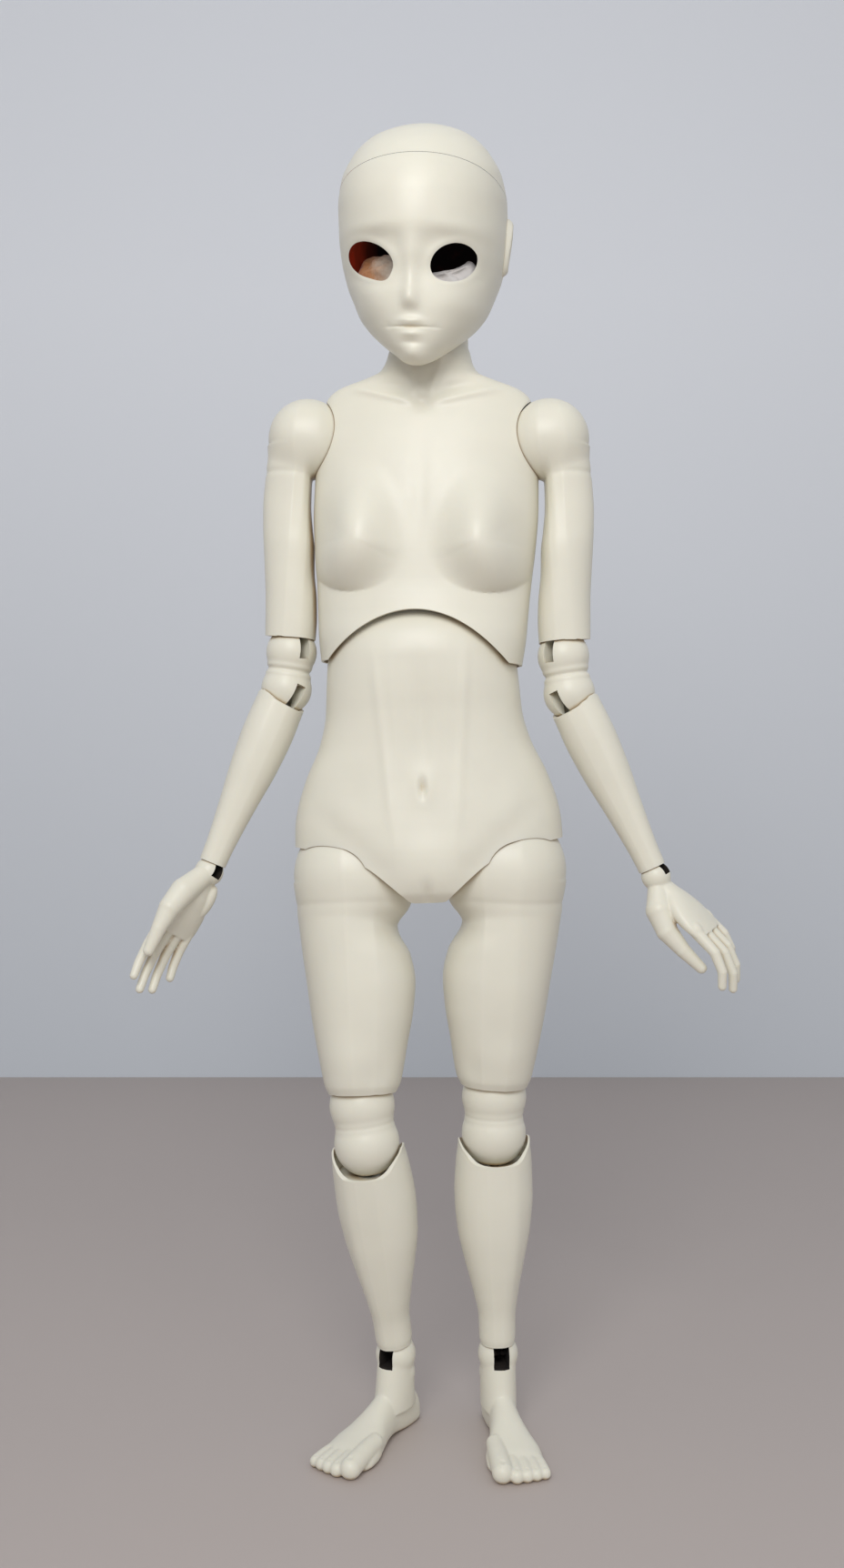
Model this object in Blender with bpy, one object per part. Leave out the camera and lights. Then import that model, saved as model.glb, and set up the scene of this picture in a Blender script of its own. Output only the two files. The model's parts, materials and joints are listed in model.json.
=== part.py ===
# Ball jointed doll: a strung, printed doll whose shells turn on balls and hang on elastic cord.
# The doll faces -Y, its left side is +X, and its soles stand on Z = 0.
import math

import bmesh
import bpy
from mathutils import Matrix, Vector

# Sizes shared by the whole doll
GAP = 0.0003
CORD_RADIUS = 0.0012
CORD_CLEARANCE = 0.0007
BEND_RADIUS = 0.0020
BEND_REACH = BEND_RADIUS + GAP
WELD_DISTANCE = GAP / 10
HOOK_ROOM = 2 * GAP

# Skeleton, from joint centre to joint centre
HIP_SPACING = 0.047
WAIST_HEIGHT = 0.0675
NECK_HEIGHT = 0.101
SHOULDER_HEIGHT = 0.0705
SHOULDER_SPACING = 0.0770
UPPER_ARM_LENGTH = 0.0685
ELBOW_SPACING = 0.0119
FOREARM_LENGTH = 0.0635
THIGH_LENGTH = 0.0720
KNEE_SPACING = 0.0116
SHIN_LENGTH = 0.0712
ANKLE_HEIGHT = 0.0240

# Balls, each fused to one shell and turning in a socket of the next
HIP_BALL_RADIUS = 0.0198
KNEE_BALL_RADIUS = 0.0102
ANKLE_BALL_RADIUS = 0.0064
SHOULDER_BALL_RADIUS = 0.0127
ELBOW_BALL_RADIUS = 0.0081
WRIST_BALL_RADIUS = 0.0046
NECK_BALL_RADIUS = 0.0122

# Stance, in degrees: leans are outward from the middle in the front view
PELVIS_ROLL_DEG = 2.2
PELVIS_YAW_DEG = -2.5
CHEST_ROLL_DEG = -1.5
CHEST_YAW_DEG = -6.0
HEAD_YAW_DEG = -10.0
HEAD_NOD_DEG = 12.0
HEAD_ROLL_DEG = 0.7
SIDES = (("right", -1), ("left", 1))
THIGH_LEAN_DEG = {"right": -1.8, "left": -2.4}
KNEE_LEAN_DEG = {"right": -7.5, "left": -0.5}
SHIN_LEAN_DEG = {"right": -7.2, "left": 1.2}
SHIN_BACK_DEG = {"right": 8.0, "left": 2.0}
LEG_TURN_DEG = {"right": 12.0, "left": 4.0}
FOOT_TURN_DEG = {"right": 32.0, "left": 9.0}
UPPER_ARM_LEAN_DEG = {"right": 4.6, "left": 3.9}
UPPER_ARM_BACK_DEG = {"right": 1.0, "left": 0.0}
ELBOW_LEAN_DEG = {"right": 8.0, "left": 9.0}
ELBOW_TURN_DEG = {"right": 38.0, "left": 42.0}
FOREARM_LEAN_DEG = {"right": 22.3, "left": 25.0}
FOREARM_FORWARD_DEG = {"right": 6.0, "left": 3.0}
HAND_LEAN_DEG = {"right": 30.0, "left": 31.0}
HAND_FORWARD_DEG = {"right": 10.0, "left": 6.0}
HAND_TURN_DEG = {"right": 45.0, "left": 125.0}

# Where the middle of the hips stands, so that the base is centred on the origin
STAND_ASIDE = 0.00047
STAND_BACK = 0.00647

# Facets
TORSO_SEGMENTS = 26
HEAD_SEGMENTS = 26
LEG_SEGMENTS = 16
ARM_SEGMENTS = 12
SOCKET_SEGMENTS = 16
BORE_SEGMENTS = 8
CORD_SEGMENTS = 6
BORE_PHASE = 0.37
TORSO_ROWS = 17
CHEST_ROWS = 20
ARM_CORD_POINTS = 13
TOE_SEGMENTS = 6
# How near its own pole a ball's first level lies
BALL_TOP_SHARE = 0.99
LARGE_BALL_TOP_SHARE = 0.995
POLE_SHARE = 0.97

SHELL_COLOR = (0.80, 0.76, 0.66)
CORD_COLOR = (0.015, 0.014, 0.013)
STEEL_COLOR = (0.55, 0.55, 0.56)
WADDING_COLOR = (0.62, 0.52, 0.42)


# Scene and collections
for old in list(bpy.data.objects):
    bpy.data.objects.remove(old, do_unlink=True)


def newCollection(name):
    collection = bpy.data.collections.new(name)
    bpy.context.scene.collection.children.link(collection)
    return collection


doll = newCollection("ball_jointed_doll")
guides = newCollection("joint_axes")
cutters = newCollection("cutters")


def newMaterial(name, color, roughness, metallic):
    material = bpy.data.materials.new(name)
    material.use_nodes = True
    shader = material.node_tree.nodes["Principled BSDF"]
    shader.inputs["Base Color"].default_value = (*color, 1.0)
    shader.inputs["Roughness"].default_value = roughness
    shader.inputs["Metallic"].default_value = metallic
    return material


shellPlastic = newMaterial("printed_shell", SHELL_COLOR, 0.5, 0.0)
elasticRubber = newMaterial("elastic_cord", CORD_COLOR, 0.7, 0.0)
hookSteel = newMaterial("hook_steel", STEEL_COLOR, 0.35, 1.0)
waddingFibre = newMaterial("wadding_fibre", WADDING_COLOR, 0.95, 0.0)


# Frames that the pieces hang on, each with its origin on a joint's centre
worldTurns = {}


def turned(axis, degrees):
    return Matrix.Rotation(math.radians(degrees), 3, axis)


def newFrame(name, parent, place, worldTurn=None):
    """An empty at a place in its parent, turned as given in the world, or else as its parent is."""
    frame = bpy.data.objects.new(name, None)
    frame.empty_display_size = BEND_RADIUS
    guides.objects.link(frame)
    frame.parent = parent
    parentTurn = worldTurns[parent.name] if parent else Matrix.Identity(3)
    worldTurns[name] = worldTurn if worldTurn is not None else parentTurn
    local = parentTurn.inverted() @ worldTurns[name]
    frame.matrix_local = Matrix.Translation(Vector(place)) @ local.to_4x4()
    return frame


def leaning(side, outwardDeg, forwardDeg=0.0, turnDeg=0.0):
    """The world turn of a hanging piece that leans outward and forward and turns its front outward."""
    return turned("Y", -outwardDeg * side) @ turned("X", -forwardDeg) @ turned("Z", turnDeg * side)


# Mesh helpers
def addMesh(name, bm, frame, material, collection=None):
    bmesh.ops.recalc_face_normals(bm, faces=bm.faces)
    mesh = bpy.data.meshes.new(name)
    bm.to_mesh(mesh)
    bm.free()
    piece = bpy.data.objects.new(name, mesh)
    (collection or doll).objects.link(piece)
    piece.parent = frame
    mesh.materials.append(material)
    mesh.shade_smooth()
    mesh.set_sharp_from_angle(angle=math.radians(40))
    if collection:
        piece.hide_render = True
        piece.display_type = "WIRE"
    return piece


def combine(piece, name, bm, frame, operation):
    tool = addMesh(name, bm, frame, shellPlastic, cutters)
    step = piece.modifiers.new(name, "BOOLEAN")
    step.operation = operation
    step.object = tool
    step.solver = "EXACT"


def eased(rows, count):
    """Rows of one table read through a smooth curve that never overshoots its own points."""
    keys = [row[0] for row in rows]
    columns = []
    for column in range(1, len(rows[0])):
        values = [row[column] for row in rows]
        rates = [(values[i + 1] - values[i]) / (keys[i + 1] - keys[i]) for i in range(len(rows) - 1)]
        slopes = [rates[0]]
        for before, after in zip(rates, rates[1:]):
            slopes.append(2 * before * after / (before + after) if before * after > 0 else 0.0)
        slopes.append(rates[-1])
        columns.append((values, slopes))
    out = []
    for step in range(count):
        key = keys[0] + (keys[-1] - keys[0]) * step / (count - 1)
        i = 0
        while i < len(keys) - 2 and key > keys[i + 1]:
            i += 1
        span = keys[i + 1] - keys[i]
        t = (key - keys[i]) / span
        row = [key]
        for values, slopes in columns:
            row.append((2 * t ** 3 - 3 * t ** 2 + 1) * values[i] + (t ** 3 - 2 * t ** 2 + t) * span * slopes[i]
                       + (3 * t ** 2 - 2 * t ** 3) * values[i + 1] + (t ** 3 - t ** 2) * span * slopes[i + 1])
        out.append(row)
    return out


def ringReach(angle, out, inn, front, back):
    """How far an oval ring reaches at an angle: +X is the doll's outer side and -Y its front."""
    across = out if math.cos(angle) > 0 else inn
    along = back if math.sin(angle) > 0 else front
    return 1.0 / math.hypot(math.cos(angle) / across, math.sin(angle) / along)


def ballReach(ball, z):
    """Half the width of a ball, given as its centre's height and its radius, at a level."""
    centre, radius = ball
    return math.sqrt(max(0.0, radius ** 2 - (z - centre) ** 2))


def skin(levels, reach, segments, side=1, shape=None, phase=0.0):
    """Closed skin round the Z axis, through levels from one end to the other, as far out as reach says."""
    bm = bmesh.new()
    rings = []
    for z in levels:
        ring = []
        for k in range(segments):
            angle = math.tau * (k + phase) / segments
            r = reach(z, angle)
            point = Vector((r * math.cos(angle), r * math.sin(angle), z))
            if shape:
                point = shape(point)
            ring.append(bm.verts.new((point.x * side, point.y, point.z)))
        rings.append(ring)
    for low, high in zip(rings, rings[1:]):
        for k in range(segments):
            after = (k + 1) % segments
            bm.faces.new((low[k], low[after], high[after], high[k]))
    bm.faces.new(rings[0])
    bm.faces.new(rings[-1])
    return bm


def limbTable(shares, length, width, depth, top=0.0):
    """Share rows (down, out, inn, front, back) as real rows of a piece that hangs down."""
    return [(top - length * down, width / 2 * out, width / 2 * inn, depth / 2 * front, depth / 2 * back)
            for down, out, inn, front, back in shares]


def readTable(table, z):
    """One row of a table at a level, or None past its ends. The table runs down from the top."""
    if z > table[0][0] or z < table[-1][0]:
        return None
    for above, below in zip(table, table[1:]):
        if z >= below[0]:
            t = (above[0] - z) / (above[0] - below[0])
            return [a + (b - a) * t for a, b in zip(above[1:], below[1:])]
    return list(table[-1][1:])


def limbReach(table, balls=()):
    def reach(z, angle):
        row = readTable(table, z)
        far = [ballReach(ball, z) for ball in balls]
        if row:
            far.append(ringReach(angle, *row))
        return max(far + [GAP])
    return reach


def ballLevels(ball, top, bottom, count):
    """Levels round a ball, even in angle, from one height down to another."""
    centre, radius = ball
    first = math.acos(max(-1.0, min(1.0, (top - centre) / radius)))
    last = math.acos(max(-1.0, min(1.0, (bottom - centre) / radius)))
    return [centre + radius * math.cos(first + (last - first) * k / (count - 1)) for k in range(count)]


def evenLevels(top, bottom, count):
    return [top + (bottom - top) * k / (count - 1) for k in range(count)]


def ballMesh(radius, segments, place=(0, 0, 0), scale=(1, 1, 1)):
    bm = bmesh.new()
    spot = Matrix.Translation(Vector(place)) @ Matrix.Diagonal((*scale, 1))
    bmesh.ops.create_uvsphere(bm, u_segments=segments, v_segments=segments // 2, radius=radius, matrix=spot)
    return bm


def socketMesh(ballRadius, segments, place=(0, 0, 0)):
    """The room a ball turns in: wide enough that even the middles of its facets clear the ball."""
    return ballMesh((ballRadius + GAP) / math.cos(math.pi / segments) ** 2, segments, place)


def barMesh(radius, start, end, segments, endRadius=None):
    start, end = Vector(start), Vector(end)
    run = end - start
    bm = bmesh.new()
    spot = Matrix.Translation((start + end) / 2) @ run.to_track_quat("Z", "Y").to_matrix().to_4x4()
    bmesh.ops.create_cone(bm, cap_ends=True, segments=segments, radius1=radius,
                          radius2=radius if endRadius is None else endRadius, depth=run.length, matrix=spot)
    return bm


def boxMesh(low, high):
    low, high = Vector(low), Vector(high)
    bm = bmesh.new()
    spot = Matrix.Translation((low + high) / 2) @ Matrix.Diagonal((*(high - low), 1))
    bmesh.ops.create_cube(bm, size=1.0, matrix=spot)
    return bm


def prismMesh(outline, low, high, turn):
    """A flat outline of (u, v) points drawn out along w, then turned into place."""
    bm = bmesh.new()
    near = [bm.verts.new(turn @ Vector((u, v, low))) for u, v in outline]
    far = [bm.verts.new(turn @ Vector((u, v, high))) for u, v in outline]
    bm.faces.new(near)
    bm.faces.new(far)
    for k in range(len(outline)):
        after = (k + 1) % len(outline)
        bm.faces.new((near[k], near[after], far[after], far[k]))
    return bm


def tubeMesh(points, radius, segments):
    """A bevelled curve with filled ends, made a welded mesh."""
    curve = bpy.data.curves.new("tube", "CURVE")
    curve.dimensions = "3D"
    curve.bevel_depth = radius
    curve.bevel_resolution = (segments - 4) // 2
    curve.use_fill_caps = True
    spline = curve.splines.new("POLY")
    spline.points.add(len(points) - 1)
    for spot, point in zip(spline.points, points):
        spot.co = (*point, 1.0)
    wire = bpy.data.objects.new("tube", curve)
    guides.objects.link(wire)
    bpy.context.view_layer.update()
    mesh = bpy.data.meshes.new_from_object(wire.evaluated_get(bpy.context.evaluated_depsgraph_get()))
    bpy.data.objects.remove(wire, do_unlink=True)
    bm = bmesh.new()
    bm.from_mesh(mesh)
    bpy.data.meshes.remove(mesh)
    bmesh.ops.remove_doubles(bm, verts=bm.verts, dist=WELD_DISTANCE)
    return bm


def addCord(name, points, frame):
    return addMesh(name, tubeMesh(points, CORD_RADIUS, CORD_SEGMENTS), frame, elasticRubber)


def addBend(name, frame):
    """The short bend of the elastic at a ball's centre, drawn as a bead."""
    bm = bmesh.new()
    bmesh.ops.create_icosphere(bm, subdivisions=1, radius=BEND_RADIUS)
    return addMesh(name, bm, frame, elasticRubber)


def ringMesh(turn, major, minor):
    """A closed wire ring."""
    bm = bmesh.new()
    rounds = BORE_SEGMENTS + 2
    rings = []
    for i in range(rounds):
        a = math.tau * i / rounds
        ring = []
        for j in range(CORD_SEGMENTS):
            b = math.tau * j / CORD_SEGMENTS
            r = major + minor * math.cos(b)
            ring.append(bm.verts.new(turn @ Vector((r * math.cos(a), r * math.sin(a), minor * math.sin(b)))))
        rings.append(ring)
    for i in range(rounds):
        here, after = rings[i], rings[(i + 1) % rounds]
        for j in range(CORD_SEGMENTS):
            onward = (j + 1) % CORD_SEGMENTS
            bm.faces.new((here[j], after[j], after[onward], here[onward]))
    return bm


def addHook(name, frame, turn, major, minor):
    """The ring of a wire hook round the bar of a ball."""
    return addMesh(name, ringMesh(turn, major, minor), frame, hookSteel)


def swelling(point, centre, size, reach):
    """How far a soft bump lifts the skin at a point, by its distance across and up from the bump's centre."""
    across = (point.x - centre[0]) / size[0]
    up = (point.z - centre[1]) / size[1]
    return reach * math.exp(-across ** 2 - up ** 2)


# Root: the middle of the hips, as high as the straight left leg holds it
rollRise = HIP_SPACING / 2 * math.sin(math.radians(PELVIS_ROLL_DEG))


def cosine(degrees):
    return math.cos(math.radians(degrees))


def kneeAndShinDrop(name):
    knee = KNEE_SPACING * cosine(KNEE_LEAN_DEG[name])
    return knee + SHIN_LENGTH * cosine(SHIN_LEAN_DEG[name]) * cosine(SHIN_BACK_DEG[name])


leftHipHeight = ANKLE_HEIGHT + kneeAndShinDrop("left") + THIGH_LENGTH * cosine(THIGH_LEAN_DEG["left"])
rootHeight = leftHipHeight - rollRise
rightThighDrop = rootHeight - rollRise - kneeAndShinDrop("right") - ANKLE_HEIGHT
rightThighShare = rightThighDrop / (THIGH_LENGTH * cosine(THIGH_LEAN_DEG["right"]))
thighForwardDeg = {"right": math.degrees(math.acos(min(1.0, rightThighShare))), "left": 0.0}

pelvisTurn = turned("Z", PELVIS_YAW_DEG) @ turned("Y", -PELVIS_ROLL_DEG)
chestTurn = turned("Z", CHEST_YAW_DEG) @ turned("Y", -CHEST_ROLL_DEG)
pelvisFrame = newFrame("pelvis_frame", None, (STAND_ASIDE, STAND_BACK, rootHeight), pelvisTurn)
waistBend = newFrame("waist_bend", pelvisFrame, (0, 0, WAIST_HEIGHT), chestTurn)
waistSide = newFrame("waist_side", waistBend, (0, 0, 0))
waistTurn = newFrame("waist_turn", waistSide, (0, 0, 0))
headTurn = turned("Z", HEAD_YAW_DEG) @ turned("X", HEAD_NOD_DEG) @ turned("Y", HEAD_ROLL_DEG)
neckNod = newFrame("neck_nod", waistTurn, (0, 0, NECK_HEIGHT), turned("Z", HEAD_YAW_DEG))
neckTilt = newFrame("neck_tilt", neckNod, (0, 0, 0), headTurn)
neckTurn = newFrame("neck_turn", neckTilt, (0, 0, 0))


# Lower torso: pelvis, belly and the dome that the chest rides on
PELVIS_WIDTH = 0.0852
PELVIS_DEPTH = 0.0460
CROTCH_DROP = 0.0082
WAIST_WIDTH = 0.0598
WAIST_DEPTH = 0.0420
WAIST_BACK_SHARE = 0.83
DOME_HEIGHT = 0.0210
NAVEL_SIZE = (0.0017, 0.0030)
NAVEL_DEPTH = 0.0016
NAVEL_HEIGHT_SHARE = 0.40
GROOVE_SIZE = (0.0035, 0.0140)
GROOVE_DEPTH = 0.0005
GROOVE_HEIGHT_SHARE = 0.70
MOUND_SIZE = (0.0140, 0.0120)
MOUND_REACH = 0.0022
CLEFT_SIZE = (0.0050, 0.0170)
CLEFT_DEPTH = 0.0045
CLEFT_HEIGHT_SHARE = 0.08
WELL_FLOOR = 0.0026
WAIST_WELL_MOUTH = 0.0062
WAIST_WELL_DROP = 0.0064
BODY_CORD_END = 0.0046
WAIST_LEAD_LENGTH = 0.0180

# Height, half width, front and back, in shares of the waist height, pelvis width and pelvis depth
PELVIS_RING_SHARES = (
    (-0.13, 0.60, 0.72, 0.78),
    (-0.07, 0.84, 0.86, 0.96),
    (0.03, 0.985, 0.93, 1.10),
    (0.135, 1.0, 0.955, 1.14),
    (0.23, 0.995, 0.945, 1.12),
    (0.31, 0.975, 0.925, 1.06),
    (0.45, 0.905, 0.885, 0.94),
    (0.62, 0.785, 0.855, 0.80),
    (0.75, 0.735, 0.870, 0.75),
    (0.84, 0.724, 0.895, 0.745),
    (0.93, 0.714, 0.910, 0.755),
    (1.0, 0.704, 0.913, 0.758),
)
DOME_LEVEL_SHARES = (0.24, 0.46, 0.65, 0.81, 0.92, 0.985)
# Across in shares of half the pelvis width, down in shares of the crotch drop
LEG_OPENING_SHARES = (
    (0.00, 1.00),
    (0.11, 0.99),
    (0.19, 0.66),
    (0.29, 0.20),
    (0.42, -0.34),
    (0.56, -0.74),
    (0.72, -0.98),
    (0.88, -1.12),
    (1.15, -1.30),
)


def pelvisShape(point):
    if point.y < 0:
        point.y += swelling(point, (0, WAIST_HEIGHT * NAVEL_HEIGHT_SHARE), NAVEL_SIZE, NAVEL_DEPTH)
        point.y += swelling(point, (0, WAIST_HEIGHT * GROOVE_HEIGHT_SHARE), GROOVE_SIZE, GROOVE_DEPTH)
        point.y -= swelling(point, (0, 0), MOUND_SIZE, MOUND_REACH)
    else:
        point.y -= swelling(point, (0, WAIST_HEIGHT * CLEFT_HEIGHT_SHARE), CLEFT_SIZE, CLEFT_DEPTH)
    return point


def makeLowerTorso():
    half, deep = PELVIS_WIDTH / 2, PELVIS_DEPTH / 2
    rows = [(WAIST_HEIGHT * up, half * wide, half * wide, deep * front, deep * back)
            for up, wide, front, back in eased(PELVIS_RING_SHARES, TORSO_ROWS)]
    for share in DOME_LEVEL_SHARES:
        level = math.sqrt(1 - share ** 2)
        wide, deepFront = WAIST_WIDTH / 2 * level, WAIST_DEPTH / 2 * level
        rows.append((WAIST_HEIGHT + DOME_HEIGHT * share, wide, wide, deepFront, deepFront * WAIST_BACK_SHARE))
    rows.reverse()
    levels = [row[0] for row in rows]
    torso = addMesh("lower_torso", skin(levels, limbReach(rows), TORSO_SEGMENTS, 1, pelvisShape),
                    pelvisFrame, shellPlastic)
    outline = [(half * across, -CROTCH_DROP * down) for across, down in LEG_OPENING_SHARES]
    outline = [(-x, z) for x, z in reversed(outline[1:])] + outline
    outline += [(outline[-1][0], -PELVIS_DEPTH), (-outline[-1][0], -PELVIS_DEPTH)]
    upright = turned("X", 90)
    combine(torso, "leg_openings_cutter", prismMesh(outline, -PELVIS_DEPTH, PELVIS_DEPTH, upright),
            pelvisFrame, "DIFFERENCE")
    waist = Vector((0, 0, WAIST_HEIGHT))
    # The well goes in first and deep enough that the two bores reach it apart
    combine(torso, "waist_well_cutter",
            barMesh(WELL_FLOOR, (0, 0, WAIST_HEIGHT - WAIST_WELL_DROP),
                    (0, 0, WAIST_HEIGHT + DOME_HEIGHT + GAP), BORE_SEGMENTS * 2, WAIST_WELL_MOUTH),
            pelvisFrame, "DIFFERENCE")
    for name, side in SIDES:
        hip = Vector((side * HIP_SPACING / 2, 0, 0))
        combine(torso, "hip_socket_cutter_" + name, socketMesh(HIP_BALL_RADIUS, SOCKET_SEGMENTS + 4, hip),
                pelvisFrame, "DIFFERENCE")
        combine(torso, "body_bore_cutter_" + name,
                barMesh(CORD_RADIUS + CORD_CLEARANCE, hip, waist, BORE_SEGMENTS), pelvisFrame, "DIFFERENCE")
        along = (waist - hip).normalized()
        addCord("body_cord_" + name, [hip + along * BEND_REACH, waist - along * BODY_CORD_END], pelvisFrame)


makeLowerTorso()
addBend("waist_cord_bend", waistBend)
addCord("waist_cord_lead", [(0, 0, BEND_REACH), (0, 0, WAIST_LEAD_LENGTH)], waistSide)


# Upper torso: rib cage, breasts, shoulders, neck and the ball that the head sits on
CHEST_WIDTH = 0.0740
CHEST_DEPTH = 0.0400
RIM_GAP = 0.0013
RIM_DROP = 0.0010
ARCH_WIDTH = 0.0580
ARCH_RISE = 0.0150
BACK_ARCH_RISE = 0.0060
ARCH_MEET = 0.0008
HOLLOW_HEIGHT = 0.0360
BREAST_SPACING = 0.0370
BREAST_HEIGHT = 0.0345
BREAST_RADIUS = 0.0180
BREAST_REACH = 0.0105
BREAST_UPPER_LENGTH = 0.0300
BREAST_LOWER_LENGTH = 0.0145
BREAST_CREASE_SHARE = 0.60
BREAST_SOFT_SHARE = 0.90
COLLAR_SIZE = (0.0040, 0.0035)
COLLAR_DEPTH = 0.0014
COLLAR_HEIGHT_SHARE = 0.80
NECK_WELL_MOUTH = 0.0066
NECK_LEAD_LENGTH = 0.0112
ARM_CORD_BOW = 0.0045

# Height above the waist in shares of the neck height, then half width, front and back
# in shares of the chest width and depth
CHEST_RING_SHARES = (
    (-0.010, 0.866, 1.165, 0.975),
    (0.07, 0.894, 1.10, 0.970),
    (0.14, 0.906, 1.00, 0.967),
    (0.24, 0.925, 0.93, 0.94),
    (0.36, 0.955, 0.92, 0.98),
    (0.47, 0.970, 0.90, 1.00),
    (0.58, 0.965, 0.83, 0.99),
    (0.66, 0.965, 0.75, 0.97),
    (0.733, 0.935, 0.67, 0.88),
    (0.79, 0.905, 0.60, 0.80),
    (0.822, 0.875, 0.57, 0.75),
    (0.848, 0.800, 0.555, 0.72),
    (0.872, 0.632, 0.550, 0.69),
    (0.900, 0.440, 0.575, 0.660),
    (0.935, 0.375, 0.630, 0.65),
    (0.968, 0.350, 0.630, 0.63),
    (0.990, 0.310, 0.570, 0.58),
)
# Height, width and depth of the hollow, in shares of its height and of the dome's size
HOLLOW_SHARES = (
    (-0.20, 1.0, 1.0),
    (0.0, 1.0, 1.0),
    (0.14, 1.005, 0.972),
    (0.27, 1.005, 0.890),
    (0.39, 1.0, 0.800),
    (0.54, 0.985, 0.830),
    (0.70, 0.960, 0.830),
    (0.86, 0.850, 0.720),
    (1.0, 0.500, 0.400),
)


def breastReach(x, z):
    """How far a breast lifts the chest: full and crisp below, easing off to the sides and above."""
    lift = 0.0
    for centre in (-BREAST_SPACING / 2, BREAST_SPACING / 2):
        across = (x - centre) / BREAST_RADIUS
        rise = z - BREAST_HEIGHT
        up = rise / (BREAST_UPPER_LENGTH if rise > 0 else BREAST_LOWER_LENGTH)
        far = math.hypot(across, up)
        if 0 < far < 1:
            softness = BREAST_CREASE_SHARE + BREAST_SOFT_SHARE * (up / far + 1) / 2
            lift = max(lift, BREAST_REACH * math.cos(far * math.pi / 2) ** softness)
        elif far == 0:
            lift = BREAST_REACH
    return lift


def chestShape(point):
    if point.y < 0:
        point.y -= breastReach(point.x, point.z)
        point.y += swelling(point, (0, NECK_HEIGHT * COLLAR_HEIGHT_SHARE), COLLAR_SIZE, COLLAR_DEPTH)
    return point


def archMesh(rise, low, high):
    """A half-round arch over the waist, from y low to y high."""
    points = []
    steps = BORE_SEGMENTS * 2
    for k in range(steps + 1):
        a = math.pi * k / steps
        points.append((ARCH_WIDTH / 2 * math.cos(a), -RIM_DROP + rise * math.sin(a)))
    points += [(-ARCH_WIDTH / 2, -CHEST_DEPTH), (ARCH_WIDTH / 2, -CHEST_DEPTH)]
    return prismMesh([(u, v) for u, v in points], -high, -low, turned("X", 90))


def makeUpperTorso():
    half, deep = CHEST_WIDTH / 2, CHEST_DEPTH / 2
    rows = [(NECK_HEIGHT * up, half * wide, half * wide, deep * front, deep * back)
            for up, wide, front, back in eased(CHEST_RING_SHARES, CHEST_ROWS)]
    rows.reverse()
    ball = (NECK_HEIGHT, NECK_BALL_RADIUS)
    levels = ballLevels(ball, NECK_HEIGHT + NECK_BALL_RADIUS * LARGE_BALL_TOP_SHARE, NECK_HEIGHT, 6)[:-1]
    levels += [row[0] for row in rows]
    chest = addMesh("upper_torso", skin(levels, limbReach(rows, (ball,)), TORSO_SEGMENTS + 2, 1, chestShape),
                    waistTurn, shellPlastic)
    # The hollow that the belly's dome turns in follows the dome at the rim and widens inside
    wide, front = WAIST_WIDTH / 2 + RIM_GAP, WAIST_DEPTH / 2 + RIM_GAP
    hollow = []
    for share, spread, depth in HOLLOW_SHARES:
        hollow.append((HOLLOW_HEIGHT * share, wide * spread, wide * spread, front * depth,
                       front * min(depth, WAIST_BACK_SHARE)))
    hollow.reverse()
    hollowFrame = newFrame("chest_hollow_frame", waistTurn, (0, 0, 0),
                           turned("Z", PELVIS_YAW_DEG) @ turned("Y", -CHEST_ROLL_DEG))
    combine(chest, "chest_hollow_cutter", skin([row[0] for row in hollow], limbReach(hollow), TORSO_SEGMENTS),
            hollowFrame, "DIFFERENCE")
    combine(chest, "front_arch_cutter", archMesh(ARCH_RISE, -CHEST_DEPTH, ARCH_MEET), waistTurn,
            "DIFFERENCE")
    combine(chest, "back_arch_cutter", archMesh(BACK_ARCH_RISE, ARCH_MEET, CHEST_DEPTH), waistTurn,
            "DIFFERENCE")
    for name, side in SIDES:
        shoulder = (side * SHOULDER_SPACING / 2, 0, SHOULDER_HEIGHT)
        combine(chest, "shoulder_socket_cutter_" + name,
                socketMesh(SHOULDER_BALL_RADIUS, SOCKET_SEGMENTS, shoulder), waistTurn, "DIFFERENCE")
    boreRadius = CORD_RADIUS + CORD_CLEARANCE
    combine(chest, "body_bore_cutter", barMesh(boreRadius, (0, 0, HOLLOW_HEIGHT / 2), (0, 0, NECK_HEIGHT),
                                               BORE_SEGMENTS), waistTurn, "DIFFERENCE")
    combine(chest, "neck_well_cutter",
            barMesh(WELL_FLOOR, (0, 0, NECK_HEIGHT - WELL_FLOOR), (0, 0, NECK_HEIGHT + NECK_BALL_RADIUS + GAP),
                    BORE_SEGMENTS * 2, NECK_WELL_MOUTH), waistTurn, "DIFFERENCE")
    addCord("body_cord_chest", [(0, 0, WAIST_LEAD_LENGTH + GAP), (0, 0, NECK_HEIGHT - BEND_REACH)], waistTurn)
    combine(chest, "arm_bore_cutter", tubeMesh(armCordRoute(0), boreRadius, BORE_SEGMENTS), waistTurn,
            "DIFFERENCE")
    addCord("arm_cord_chest", armCordRoute(BEND_REACH), waistTurn)


def armCordRoute(clear):
    """Across the chest from one shoulder's centre to the other, bowed behind the body cord."""
    reach = SHOULDER_SPACING / 2 - clear
    points = []
    for k in range(ARM_CORD_POINTS):
        share = 2 * k / (ARM_CORD_POINTS - 1) - 1
        points.append((reach * share, ARM_CORD_BOW * (1 - share ** 2) ** 2, SHOULDER_HEIGHT))
    return points


makeUpperTorso()
neckLead = newFrame("neck_lead_frame", neckTilt, (0, 0, 0))
addBend("neck_cord_bend", neckNod)
addCord("neck_cord_lead", [(0, 0, BEND_REACH), (0, 0, NECK_LEAD_LENGTH)], neckLead)


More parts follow.
